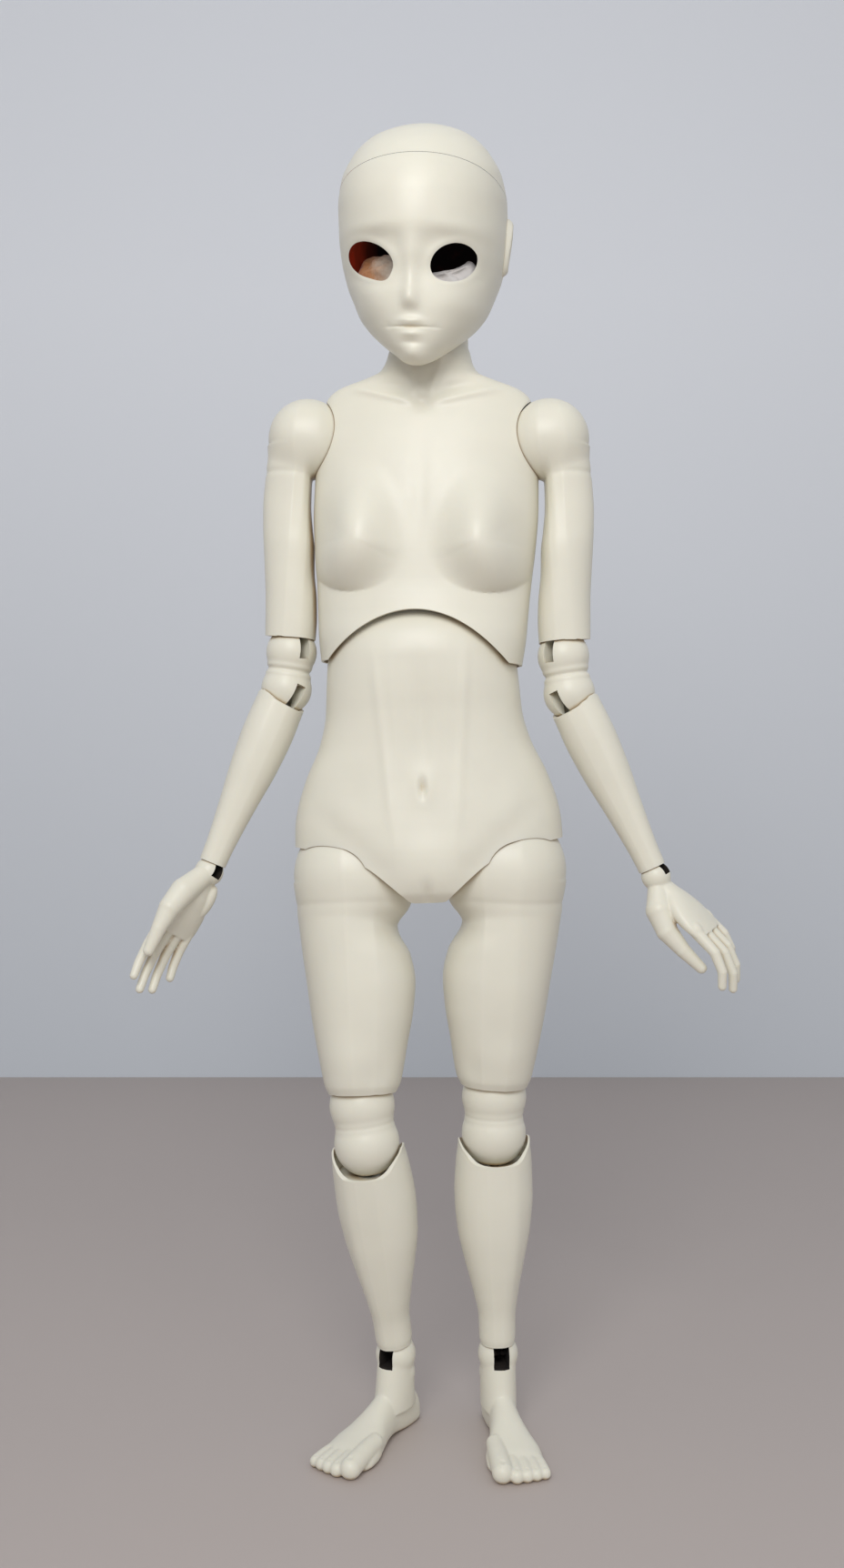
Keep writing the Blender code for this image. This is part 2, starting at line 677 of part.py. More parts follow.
# Legs
THIGH_WIDTH = 0.0380
THIGH_DEPTH = 0.0350
THIGH_ROWS = 12
KNEE_WAIST_WIDTH = 0.0188
KNEE_SLOT_WIDTH = 0.0036
SHIN_WIDTH = 0.0240
SHIN_DEPTH = 0.0250
SHIN_ROWS = 11
CALF_END = 0.0672
LIMB_BORE_RADIUS = CORD_RADIUS + CORD_CLEARANCE
HIP_WELL_MOUTH = 0.0212
HIP_LEAD_LENGTH = 0.0060
SLOT_FLOOR = 0.0021
SLOT_OVERRUN_SHARE = 1.2
KNEE_FUNNEL_SHARE = 0.44
ELBOW_FUNNEL_SHARE = 0.56
HINGE_CLEAR = 0.0019
FOLD_BACK = 1
FOLD_FRONT = -1

# Down from the hip in shares of the thigh length, then out, inn, front and back in shares of the sizes
THIGH_RING_SHARES = (
    (0.03, 0.990, 0.60, 0.96, 0.98),
    (0.14, 1.000, 0.57, 0.97, 1.01),
    (0.25, 0.965, 0.57, 0.97, 1.03),
    (0.36, 0.915, 0.83, 0.97, 1.03),
    (0.47, 0.860, 0.925, 0.96, 1.00),
    (0.60, 0.800, 0.890, 0.91, 0.93),
    (0.74, 0.720, 0.780, 0.83, 0.82),
    (0.86, 0.640, 0.690, 0.76, 0.73),
    (0.91, 0.600, 0.640, 0.72, 0.68),
    (0.946, 0.545, 0.570, 0.64, 0.60),
)
# The lower edge of the thigh: from front to back in shares of the ball, then up from the knee ball's centre
THIGH_RIM_SHARES = ((-2.4, 0.40), (0.0, 0.38), (0.75, 0.55), (2.4, 1.30))
# The rim of the shin's cup, the same way
SHIN_RIM_SHARES = (
    (-2.4, -0.95),
    (-1.0, -0.76),
    (-0.55, -0.40),
    (0.0, -0.16),
    (0.45, -0.25),
    (1.0, -0.80),
    (2.4, -1.90),
)
SHIN_RING_SHARES = (
    (-0.02, 0.940, 0.940, 0.885, 0.920),
    (0.04, 0.950, 0.955, 0.890, 0.960),
    (0.12, 0.985, 1.015, 0.905, 1.060),
    (0.28, 1.000, 1.075, 0.910, 1.170),
    (0.44, 0.920, 1.020, 0.870, 1.120),
    (0.60, 0.750, 0.840, 0.770, 0.900),
    (0.76, 0.570, 0.620, 0.630, 0.660),
    (0.88, 0.480, 0.500, 0.520, 0.540),
    (1.00, 0.470, 0.490, 0.490, 0.510),
)


def rimWedge(shares, ballRadius, width, up):
    """Everything above, or below, a rim line that runs from front to back."""
    line = [(ballRadius * along, ballRadius * rise) for along, rise in shares]
    end = THIGH_DEPTH * up
    outline = line + [(line[-1][0], end), (line[0][0], end)]
    # The outline's (u, v) is (y, z) and the wedge is drawn out along x
    return prismMesh(outline, -width, width, Matrix(((0, 0, 1), (1, 0, 0), (0, 1, 0))))


def cordSlot(piece, name, frame, ballRadius, width, fold, up):
    """A slot in a ball that lets the elastic swing as the joint folds, to the back or to the front."""
    reach = ballRadius * SLOT_OVERRUN_SHARE
    ends = sorted((-fold * SLOT_FLOOR, fold * reach))
    heights = (-SLOT_FLOOR, reach) if up else (-reach, SLOT_FLOOR)
    combine(piece, name, boxMesh((-width / 2, ends[0], heights[0]), (width / 2, ends[1], heights[1])), frame,
            "DIFFERENCE")


def boreLink(link, name, frame, ballRadius, spacing, funnelShare):
    """The bore of a link, opening like a funnel at both ends so the elastic may lean."""
    reach = ballRadius * SLOT_OVERRUN_SHARE
    mouth = ballRadius * funnelShare
    widths = {reach: mouth, 0.0: LIMB_BORE_RADIUS, -spacing: LIMB_BORE_RADIUS, -spacing - reach: mouth}
    combine(link, name + "_bore", skin(list(widths), lambda z, angle: widths[z], BORE_SEGMENTS + 4,
                                         phase=BORE_PHASE), frame, "DIFFERENCE")


def linkMesh(radius, spacing, waistWidth, segments, side):
    """Two balls on one axis with a waist between them."""
    top, bottom = (0, radius), (-spacing, radius)
    reachUp = radius * BALL_TOP_SHARE

    def reach(z, angle):
        waist = waistWidth / 2 if -spacing < z < 0 else 0
        return max(ballReach(top, z), ballReach(bottom, z), waist, GAP)

    levels = ballLevels(top, reachUp, 0, 6)
    levels += evenLevels(0, -spacing, 6)[1:-1]
    levels += ballLevels(bottom, -spacing, -spacing - reachUp, 6)
    return skin(levels, reach, segments, side)


def makeLeg(name, side):
    hipPlace = (side * HIP_SPACING / 2, 0, 0)
    hipBend = newFrame("hip_bend_" + name, pelvisFrame, hipPlace)
    hipSide = newFrame("hip_side_" + name, hipBend, (0, 0, 0))
    thighTurn = leaning(side, THIGH_LEAN_DEG[name], thighForwardDeg[name], LEG_TURN_DEG[name])
    hipTurn = newFrame("hip_turn_" + name, hipSide, (0, 0, 0), thighTurn)
    hipLead = newFrame("hip_lead_frame_" + name, hipSide, (0, 0, 0), thighTurn)

    knee = -THIGH_LENGTH
    ball = (0, HIP_BALL_RADIUS)
    table = limbTable(THIGH_RING_SHARES, THIGH_LENGTH, THIGH_WIDTH, THIGH_DEPTH)
    rows = [(z, *readTable(table, z)) for z in evenLevels(table[0][0], table[-1][0], THIGH_ROWS)]
    levels = ballLevels(ball, HIP_BALL_RADIUS * LARGE_BALL_TOP_SHARE, rows[0][0], 8)[:-1] + [row[0] for row in rows]
    smooth = [(-z, *rest) for z, *rest in eased([(-row[0], *row[1:]) for row in table], THIGH_ROWS)]
    thigh = addMesh("thigh_" + name, skin(levels, limbReach(smooth, (ball,)), LEG_SEGMENTS, side), hipTurn,
                    shellPlastic)
    kneeTop = socketMesh(KNEE_BALL_RADIUS, SOCKET_SEGMENTS, (0, 0, knee))
    combine(thigh, "knee_socket_cutter_" + name, kneeTop, hipTurn, "DIFFERENCE")
    bore = barMesh(LIMB_BORE_RADIUS, (0, 0, knee), (0, 0, 0), BORE_SEGMENTS)
    combine(thigh, "thigh_bore_cutter_" + name, bore, hipTurn, "DIFFERENCE")
    well = barMesh(WELL_FLOOR, (0, 0, -WELL_FLOOR), (0, 0, HIP_BALL_RADIUS + GAP), BORE_SEGMENTS * 2,
                   HIP_WELL_MOUTH)
    combine(thigh, "hip_well_cutter_" + name, well, hipTurn, "DIFFERENCE")
    combine(thigh, "thigh_rim_cutter_" + name,
            movedMesh(rimWedge(THIGH_RIM_SHARES, KNEE_BALL_RADIUS, THIGH_WIDTH, -1), (0, 0, knee)), hipTurn,
            "DIFFERENCE")
    addBend("hip_cord_bend_" + name, hipBend)
    addCord("hip_cord_lead_" + name, [(0, 0, -BEND_REACH), (0, 0, -HIP_LEAD_LENGTH)], hipLead)
    addCord("thigh_cord_" + name, [(0, 0, -HIP_LEAD_LENGTH - GAP), (0, 0, knee + HINGE_CLEAR)], hipTurn)

    kneeUpper = newFrame("knee_upper_" + name, hipTurn, (0, 0, knee))
    linkFrame = newFrame("knee_link_frame_" + name, kneeUpper, (0, 0, 0),
                         leaning(side, KNEE_LEAN_DEG[name], thighForwardDeg[name] / 2, LEG_TURN_DEG[name]))
    shinTurn = leaning(side, SHIN_LEAN_DEG[name], -SHIN_BACK_DEG[name], LEG_TURN_DEG[name])
    shinFrame = newFrame("knee_lower_" + name, linkFrame, (0, 0, -KNEE_SPACING), shinTurn)
    link = addMesh("knee_link_" + name,
                   linkMesh(KNEE_BALL_RADIUS, KNEE_SPACING, KNEE_WAIST_WIDTH, LEG_SEGMENTS - 2, side), linkFrame,
                   shellPlastic)
    boreLink(link, "knee_" + name, linkFrame, KNEE_BALL_RADIUS, KNEE_SPACING, KNEE_FUNNEL_SHARE)
    cordSlot(link, "knee_slot_upper_" + name, kneeUpper, KNEE_BALL_RADIUS, KNEE_SLOT_WIDTH, FOLD_BACK, True)
    cordSlot(link, "knee_slot_lower_" + name, shinFrame, KNEE_BALL_RADIUS, KNEE_SLOT_WIDTH, FOLD_BACK, False)
    addCord("knee_cord_" + name, [(0, 0, -HINGE_CLEAR), (0, 0, -KNEE_SPACING + HINGE_CLEAR)], linkFrame)

    table = limbTable(SHIN_RING_SHARES, CALF_END, SHIN_WIDTH, SHIN_DEPTH)
    smooth = [(-z, *rest) for z, *rest in eased([(-row[0], *row[1:]) for row in table], SHIN_ROWS)]
    shin = addMesh("shin_" + name, skin([row[0] for row in smooth], limbReach(smooth), LEG_SEGMENTS, side),
                   shinFrame, shellPlastic)
    combine(shin, "shin_cup_cutter_" + name, socketMesh(KNEE_BALL_RADIUS, SOCKET_SEGMENTS), shinFrame,
            "DIFFERENCE")
    combine(shin, "shin_rim_cutter_" + name, rimWedge(SHIN_RIM_SHARES, KNEE_BALL_RADIUS, THIGH_WIDTH, 1),
            shinFrame, "DIFFERENCE")
    ankle = -SHIN_LENGTH
    combine(shin, "shin_bore_cutter_" + name, barMesh(LIMB_BORE_RADIUS, (0, 0, ankle), (0, 0, 0), BORE_SEGMENTS),
            shinFrame, "DIFFERENCE")
    combine(shin, "ankle_socket_cutter_" + name,
            socketMesh(ANKLE_BALL_RADIUS, SOCKET_SEGMENTS - 4, (0, 0, ankle)), shinFrame, "DIFFERENCE")
    addCord("shin_cord_" + name, [(0, 0, -HINGE_CLEAR), (0, 0, ankle + ANKLE_BALL_RADIUS)], shinFrame)
    makeFoot(name, side, shinFrame, shinTurn)


def movedMesh(bm, place):
    bmesh.ops.translate(bm, verts=bm.verts, vec=Vector(place))
    return bm


# Feet
FOOT_LENGTH = 0.0480
FOOT_WIDTH = 0.0176
FOOT_BACK_SHARE = 0.24
INSTEP_HEIGHT = 0.0150
ANKLE_WIDTH = 0.0112
ANKLE_DEPTH = 0.0130
ANKLE_SLOT_WIDTH = 0.0060
BAR_RADIUS = 0.0008
HOOK_WIRE_RADIUS = 0.0005
HOOK_RADIUS = 0.0018
TOE_LENGTH = 0.0075
TOE_RADIUS = 0.0023
FOOT_ROWS = 11
FOOT_EDGE_SHARE = 0.32
SOLE_FLAT_SHARE = 0.10
TOE_FLAT_SHARE = 0.90
TOE_PLACE_SHARE = 0.75
TOE_SIZE_SHARES = (0.92, 0.90)
INSTEP_JOIN_SHARE = 0.5
ANKLE_TOP_SHARE = 0.35
ANKLE_FLARE_SHARES = (0.8, 0.6)

# Forward from the heel in shares of the foot length without toes, then half width out and in, height
FOOT_RING_SHARES = (
    (0.00, 0.16, 0.16, 0.26),
    (0.03, 0.32, 0.32, 0.50),
    (0.10, 0.45, 0.44, 0.78),
    (0.22, 0.50, 0.47, 1.00),
    (0.38, 0.52, 0.46, 1.00),
    (0.55, 0.64, 0.56, 0.78),
    (0.70, 0.82, 0.76, 0.58),
    (0.84, 0.97, 0.98, 0.44),
    (0.93, 0.96, 1.02, 0.37),
    (1.00, 0.84, 0.94, 0.29),
)
# Each toe from the big one: across the foot, how far forward, and its size
TOE_SHARES = (
    (-0.66, 1.02, 1.45),
    (-0.20, 1.05, 1.00),
    (0.16, 1.00, 0.94),
    (0.49, 0.93, 0.88),
    (0.80, 0.84, 0.82),
)


def makeFoot(name, side, shinFrame, shinTurn):
    ankleTurn = newFrame("ankle_turn_" + name, shinFrame, (0, 0, -SHIN_LENGTH))
    footTurn = leaning(side, 0.0, 0.0, FOOT_TURN_DEG[name])
    ankleTilt = newFrame("ankle_tilt_" + name, ankleTurn, (0, 0, 0), footTurn)
    ankleBend = newFrame("ankle_bend_" + name, ankleTilt, (0, 0, 0))
    sole = -ANKLE_HEIGHT
    heel = FOOT_LENGTH * FOOT_BACK_SHARE
    pad = FOOT_LENGTH - TOE_LENGTH
    rows = [(heel - pad * share, FOOT_WIDTH / 2 * out, FOOT_WIDTH / 2 * inn, INSTEP_HEIGHT * tall)
            for share, out, inn, tall in eased(FOOT_RING_SHARES, FOOT_ROWS)]
    bm = bmesh.new()
    rings = []
    for y, out, inn, tall in rows:
        ring = []
        for k in range(LEG_SEGMENTS - 4):
            angle = math.tau * k / (LEG_SEGMENTS - 4)
            across = math.cos(angle) * (out if math.cos(angle) > 0 else inn)
            up = math.sin(angle)
            if up > 0:
                rise = tall * (FOOT_EDGE_SHARE + (1 - FOOT_EDGE_SHARE) * up)
            else:
                rise = tall * FOOT_EDGE_SHARE * max(0.0, (1 + up) ** 2 - SOLE_FLAT_SHARE)
            ring.append(bm.verts.new((side * across, y, sole + rise)))
        rings.append(ring)
    for here, after in zip(rings, rings[1:]):
        for k in range(len(here)):
            onward = (k + 1) % len(here)
            bm.faces.new((here[k], here[onward], after[onward], after[k]))
    bm.faces.new(rings[0])
    bm.faces.new(rings[-1])
    foot = addMesh("foot_" + name, bm, ankleBend, shellPlastic)
    ball = (0, ANKLE_BALL_RADIUS)
    instep = sole + INSTEP_HEIGHT * INSTEP_JOIN_SHARE
    half = ANKLE_WIDTH / 2
    flareFront, flareBack = ANKLE_FLARE_SHARES
    column = [(-ANKLE_BALL_RADIUS * ANKLE_TOP_SHARE, half, half, ANKLE_DEPTH / 2, ANKLE_DEPTH / 2),
              (instep, half, half, ANKLE_DEPTH * flareFront, ANKLE_DEPTH * flareBack)]
    levels = ballLevels(ball, ANKLE_BALL_RADIUS * BALL_TOP_SHARE, column[0][0], 7)[:-1]
    levels += evenLevels(column[0][0], instep, 5)
    combine(foot, "ankle_column_" + name, skin(levels, limbReach(column, (ball,)), ARM_SEGMENTS, side),
            ankleBend, "UNION")
    for index, (across, ahead, size) in enumerate(TOE_SHARES):
        radius = TOE_RADIUS * size
        tip = heel - pad - TOE_LENGTH * ahead
        place = (side * FOOT_WIDTH / 2 * across, tip + TOE_LENGTH * TOE_PLACE_SHARE,
                 sole + radius * TOE_FLAT_SHARE)
        wide, long = TOE_SIZE_SHARES
        toe = ballMesh(radius, TOE_SEGMENTS, place, (wide, long * TOE_LENGTH / radius, TOE_FLAT_SHARE))
        combine(foot, "toe_%d_%s" % (index + 1, name), toe, ankleBend, "UNION")
    reach = ANKLE_BALL_RADIUS * SLOT_OVERRUN_SHARE
    room = HOOK_RADIUS + HOOK_WIRE_RADIUS + HOOK_ROOM
    combine(foot, "ankle_slot_cutter_" + name,
            boxMesh((-ANKLE_SLOT_WIDTH / 2, -reach, -room), (ANKLE_SLOT_WIDTH / 2, room, reach)), ankleBend,
            "DIFFERENCE")
    combine(foot, "ankle_bar_" + name,
            barMesh(BAR_RADIUS, (-ANKLE_SLOT_WIDTH, 0, 0), (ANKLE_SLOT_WIDTH, 0, 0), BORE_SEGMENTS), ankleBend,
            "UNION")
    combine(foot, "sole_cutter_" + name,
            boxMesh((-FOOT_LENGTH, -FOOT_LENGTH, sole - FOOT_WIDTH), (FOOT_LENGTH, FOOT_LENGTH, sole)), ankleBend,
            "DIFFERENCE")
    hookTop = HOOK_RADIUS + HOOK_WIRE_RADIUS + GAP
    endFrame = newFrame("ankle_end_frame_" + name, ankleTurn, (0, 0, 0))
    addCord("ankle_cord_end_" + name, [(0, 0, ANKLE_BALL_RADIUS - GAP), (0, 0, hookTop)], endFrame)
    addHook("ankle_hook_" + name, ankleTilt, turned("Y", 90), HOOK_RADIUS, HOOK_WIRE_RADIUS)


for sideName, sideSign in SIDES:
    makeLeg(sideName, sideSign)


# Arms
UPPER_ARM_WIDTH = 0.0200
UPPER_ARM_DEPTH = 0.0180
FOREARM_WIDTH = 0.0156
ARM_ROWS = 9
ELBOW_WAIST_WIDTH = 0.0146
ELBOW_SLOT_WIDTH = 0.0034
ARM_WELL_MOUTH = 0.0092
ARM_WELL_TILTS_DEG = (0.0, 48.0)
ARM_LEAD_LENGTH = 0.0056

UPPER_ARM_RING_SHARES = (
    (0.05, 1.24, 0.80, 1.10, 1.10),
    (0.12, 1.26, 0.20, 1.00, 1.00),
    (0.19, 1.28, 0.05, 0.92, 0.94),
    (0.30, 1.28, 0.10, 0.94, 0.97),
    (0.42, 1.23, 0.26, 0.96, 0.99),
    (0.50, 1.17, 0.38, 0.99, 1.01),
    (0.62, 1.07, 0.46, 0.96, 0.97),
    (0.75, 0.97, 0.59, 0.93, 0.93),
    (0.88, 0.91, 0.69, 0.89, 0.89),
    (0.945, 0.88, 0.74, 0.87, 0.87),
)
UPPER_ARM_RIM_SHARES = ((-2.6, 0.60), (0.0, 0.55), (0.7, 0.60), (2.6, 0.95))
FOREARM_RING_SHARES = (
    (-0.02, 1.00, 1.00, 0.98, 0.98),
    (0.12, 1.03, 1.03, 1.00, 1.00),
    (0.22, 1.05, 1.07, 1.00, 1.03),
    (0.40, 0.97, 1.00, 0.93, 0.98),
    (0.60, 0.79, 0.80, 0.76, 0.82),
    (0.76, 0.65, 0.66, 0.62, 0.68),
    (0.87, 0.58, 0.58, 0.56, 0.60),
    (0.955, 0.55, 0.55, 0.54, 0.57),
)
FOREARM_RIM_SHARES = ((-2.6, -1.00), (-1.0, -0.75), (0.0, -0.45), (0.5, -0.55), (1.0, -0.85), (2.6, -1.60))


def makeArm(name, side):
    swing = newFrame("shoulder_swing_" + name, waistTurn, (side * SHOULDER_SPACING / 2, 0, SHOULDER_HEIGHT))
    lift = newFrame("shoulder_lift_" + name, swing, (0, 0, 0))
    armTurn = leaning(side, UPPER_ARM_LEAN_DEG[name], -UPPER_ARM_BACK_DEG[name])
    turn = newFrame("shoulder_turn_" + name, lift, (0, 0, 0), armTurn)
    lead = newFrame("shoulder_lead_frame_" + name, lift, (0, 0, 0), armTurn)
    elbow = -UPPER_ARM_LENGTH
    ball = (0, SHOULDER_BALL_RADIUS)
    table = limbTable(UPPER_ARM_RING_SHARES, UPPER_ARM_LENGTH, UPPER_ARM_WIDTH, UPPER_ARM_DEPTH)
    smooth = [(-z, *rest) for z, *rest in eased([(-row[0], *row[1:]) for row in table], ARM_ROWS)]
    levels = ballLevels(ball, SHOULDER_BALL_RADIUS * POLE_SHARE, -SHOULDER_BALL_RADIUS * POLE_SHARE, 10)
    levels += [row[0] for row in smooth if row[0] < -SHOULDER_BALL_RADIUS]
    arm = addMesh("upper_arm_" + name, skin(levels, limbReach(smooth, (ball,)), ARM_SEGMENTS, side), turn,
                  shellPlastic)
    elbowOut = -ELBOW_TURN_DEG[name]
    elbowUpper = newFrame("elbow_upper_" + name, turn, (0, 0, elbow),
                          leaning(side, UPPER_ARM_LEAN_DEG[name], -UPPER_ARM_BACK_DEG[name], elbowOut))
    linkFrame = newFrame("elbow_link_frame_" + name, elbowUpper, (0, 0, 0),
                         leaning(side, ELBOW_LEAN_DEG[name], -UPPER_ARM_BACK_DEG[name] / 2, elbowOut))
    combine(arm, "elbow_socket_cutter_" + name, socketMesh(ELBOW_BALL_RADIUS, SOCKET_SEGMENTS), elbowUpper,
            "DIFFERENCE")
    combine(arm, "arm_bore_cutter_" + name, barMesh(LIMB_BORE_RADIUS, (0, 0, elbow), (0, 0, 0), BORE_SEGMENTS),
            turn, "DIFFERENCE")
    # The wells open inward, toward the chest, and upward for a raised arm, because the elastic comes from there
    for index, tilt in enumerate(ARM_WELL_TILTS_DEG):
        along = turned("Y", side * tilt) @ Vector((-side, 0, 0))
        well = barMesh(WELL_FLOOR, -along * WELL_FLOOR, along * (SHOULDER_BALL_RADIUS + GAP), BORE_SEGMENTS * 2,
                       ARM_WELL_MOUTH)
        combine(arm, "arm_well_%d_cutter_%s" % (index + 1, name), well, turn, "DIFFERENCE")
    rim = rimWedge(UPPER_ARM_RIM_SHARES, ELBOW_BALL_RADIUS, THIGH_WIDTH, -1)
    combine(arm, "arm_rim_cutter_" + name, rim, elbowUpper, "DIFFERENCE")
    addBend("shoulder_cord_bend_" + name, swing)
    addCord("shoulder_cord_lead_" + name, [(0, 0, -BEND_REACH), (0, 0, -ARM_LEAD_LENGTH)], lead)
    addCord("upper_arm_cord_" + name, [(0, 0, -ARM_LEAD_LENGTH - GAP), (0, 0, elbow + HINGE_CLEAR)], turn)

    foreTurn = leaning(side, FOREARM_LEAN_DEG[name], FOREARM_FORWARD_DEG[name], elbowOut)
    foreFrame = newFrame("elbow_lower_" + name, linkFrame, (0, 0, -ELBOW_SPACING), foreTurn)
    link = addMesh("elbow_link_" + name,
                   linkMesh(ELBOW_BALL_RADIUS, ELBOW_SPACING, ELBOW_WAIST_WIDTH, ARM_SEGMENTS, side), linkFrame,
                   shellPlastic)
    boreLink(link, "elbow_" + name, linkFrame, ELBOW_BALL_RADIUS, ELBOW_SPACING, ELBOW_FUNNEL_SHARE)
    cordSlot(link, "elbow_slot_upper_" + name, elbowUpper, ELBOW_BALL_RADIUS, ELBOW_SLOT_WIDTH, FOLD_FRONT,
             True)
    cordSlot(link, "elbow_slot_lower_" + name, foreFrame, ELBOW_BALL_RADIUS, ELBOW_SLOT_WIDTH, FOLD_FRONT,
             False)
    addCord("elbow_cord_" + name, [(0, 0, -HINGE_CLEAR), (0, 0, -ELBOW_SPACING + HINGE_CLEAR)], linkFrame)

    table = limbTable(FOREARM_RING_SHARES, FOREARM_LENGTH, FOREARM_WIDTH, FOREARM_WIDTH)
    smooth = [(-z, *rest) for z, *rest in eased([(-row[0], *row[1:]) for row in table], ARM_ROWS)]
    levels = [row[0] for row in smooth]
    forearm = addMesh("forearm_" + name, skin(levels, limbReach(smooth), ARM_SEGMENTS, side), foreFrame,
                      shellPlastic)
    combine(forearm, "forearm_cup_cutter_" + name, socketMesh(ELBOW_BALL_RADIUS, SOCKET_SEGMENTS), foreFrame,
            "DIFFERENCE")
    combine(forearm, "forearm_rim_cutter_" + name,
            rimWedge(FOREARM_RIM_SHARES, ELBOW_BALL_RADIUS, THIGH_WIDTH, 1), foreFrame, "DIFFERENCE")
    wrist = -FOREARM_LENGTH
    combine(forearm, "forearm_bore_cutter_" + name,
            barMesh(LIMB_BORE_RADIUS, (0, 0, wrist), (0, 0, 0), BORE_SEGMENTS), foreFrame, "DIFFERENCE")
    combine(forearm, "wrist_socket_cutter_" + name,
            socketMesh(WRIST_BALL_RADIUS, SOCKET_SEGMENTS - 4, (0, 0, wrist)), foreFrame, "DIFFERENCE")
    addCord("forearm_cord_" + name, [(0, 0, -HINGE_CLEAR), (0, 0, wrist + WRIST_BALL_RADIUS)], foreFrame)
    makeHand(name, side, foreFrame)


# Hands
PALM_LENGTH = 0.0200
PALM_WIDTH = 0.0160
PALM_DEPTH = 0.0062
PALM_ROWS = 8
FINGER_SEGMENTS = 6
FINGER_RADIUS = 0.0019
FINGER_LENGTH = 0.0205
THUMB_LENGTH = 0.0150
THUMB_RADIUS = 0.0022
PALM_TOP_SHARE = 0.6
THUMB_ROOT_SHARES = (0.52, 0.22, 0.30)
WRIST_SLOT_WIDTH = 0.0048
WRIST_BAR_REACH_SHARE = 0.75
WRIST_HOOK_RADIUS = 0.0016
WRIST_HOOK_WIRE = 0.0004
WRIST_BAR_RADIUS = 0.0006
PALM_RING_SHARES = (
    (0.00, 0.42, 0.42, 0.80, 0.80),
    (0.15, 0.44, 0.46, 0.95, 0.92),
    (0.35, 0.66, 0.62, 1.25, 0.98),
    (0.60, 0.92, 0.86, 1.15, 0.95),
    (0.82, 1.02, 0.96, 0.90, 0.86),
    (1.00, 0.98, 0.94, 0.70, 0.72),
)
# Each finger from the first: root across the palm and down it, then its length, in shares
FINGER_SHARES = (
    ("first", 0.72, 0.98, 0.94),
    ("second", 0.24, 1.02, 1.04),
    ("third", -0.24, 1.00, 0.98),
    ("fourth", -0.70, 0.92, 0.78),
)
FINGER_SPREAD_DEG = {"first": 5.0, "second": 1.5, "third": -2.0, "fourth": -6.0}
FINGER_BEND_DEG = {"first": 6.0, "second": 4.0, "third": 7.0, "fourth": 9.0}
FINGER_CURL_DEG = 14.0
THUMB_SPREAD_DEG = 34.0
THUMB_FORWARD_DEG = 26.0
FINGER_TIP_SHARE = 0.72
FINGER_BONE_SHARES = (0.44, 0.32, 0.24)
# Ahead of the last joint and how wide, in shares of the finger there
FINGER_END_SHARES = ((-0.55, 1.0), (0.15, 0.82), (0.55, 0.45))
FINGER_JOINT_SHARES = ((0.0, 1.0),)


def fingerMesh(root, spreadDeg, bendDeg, curlDeg, length, radius, side):
    """A finger of three bones, each bent a little more toward the palm than the last."""
    points = [Vector(root)]
    bend = bendDeg
    for share in FINGER_BONE_SHARES:
        along = turned("Y", -spreadDeg) @ turned("X", -bend) @ Vector((0, 0, -1))
        points.append(points[-1] + along * length * share)
        bend += curlDeg
    bm = bmesh.new()
    rings = []
    count = len(points)
    for index, point in enumerate(points):
        share = index / (count - 1)
        here = radius * (1 - (1 - FINGER_TIP_SHARE) * share)
        before = points[max(0, index - 1)]
        after = points[min(count - 1, index + 1)]
        turn = (after - before).normalized().to_track_quat("Z", "Y").to_matrix()
        for ahead, wide in FINGER_END_SHARES if index == count - 1 else FINGER_JOINT_SHARES:
            ring = []
            for k in range(FINGER_SEGMENTS):
                a = math.tau * k / FINGER_SEGMENTS
                spot = turn @ Vector((here * wide * math.cos(a), here * wide * math.sin(a), here * ahead))
                spot = point + spot
                ring.append(bm.verts.new((spot.x * side, spot.y, spot.z)))
            rings.append(ring)
    for low, high in zip(rings, rings[1:]):
        for k in range(FINGER_SEGMENTS):
            after = (k + 1) % FINGER_SEGMENTS
            bm.faces.new((low[k], low[after], high[after], high[k]))
    bm.faces.new(rings[0])
    bm.faces.new(rings[-1])
    return bm


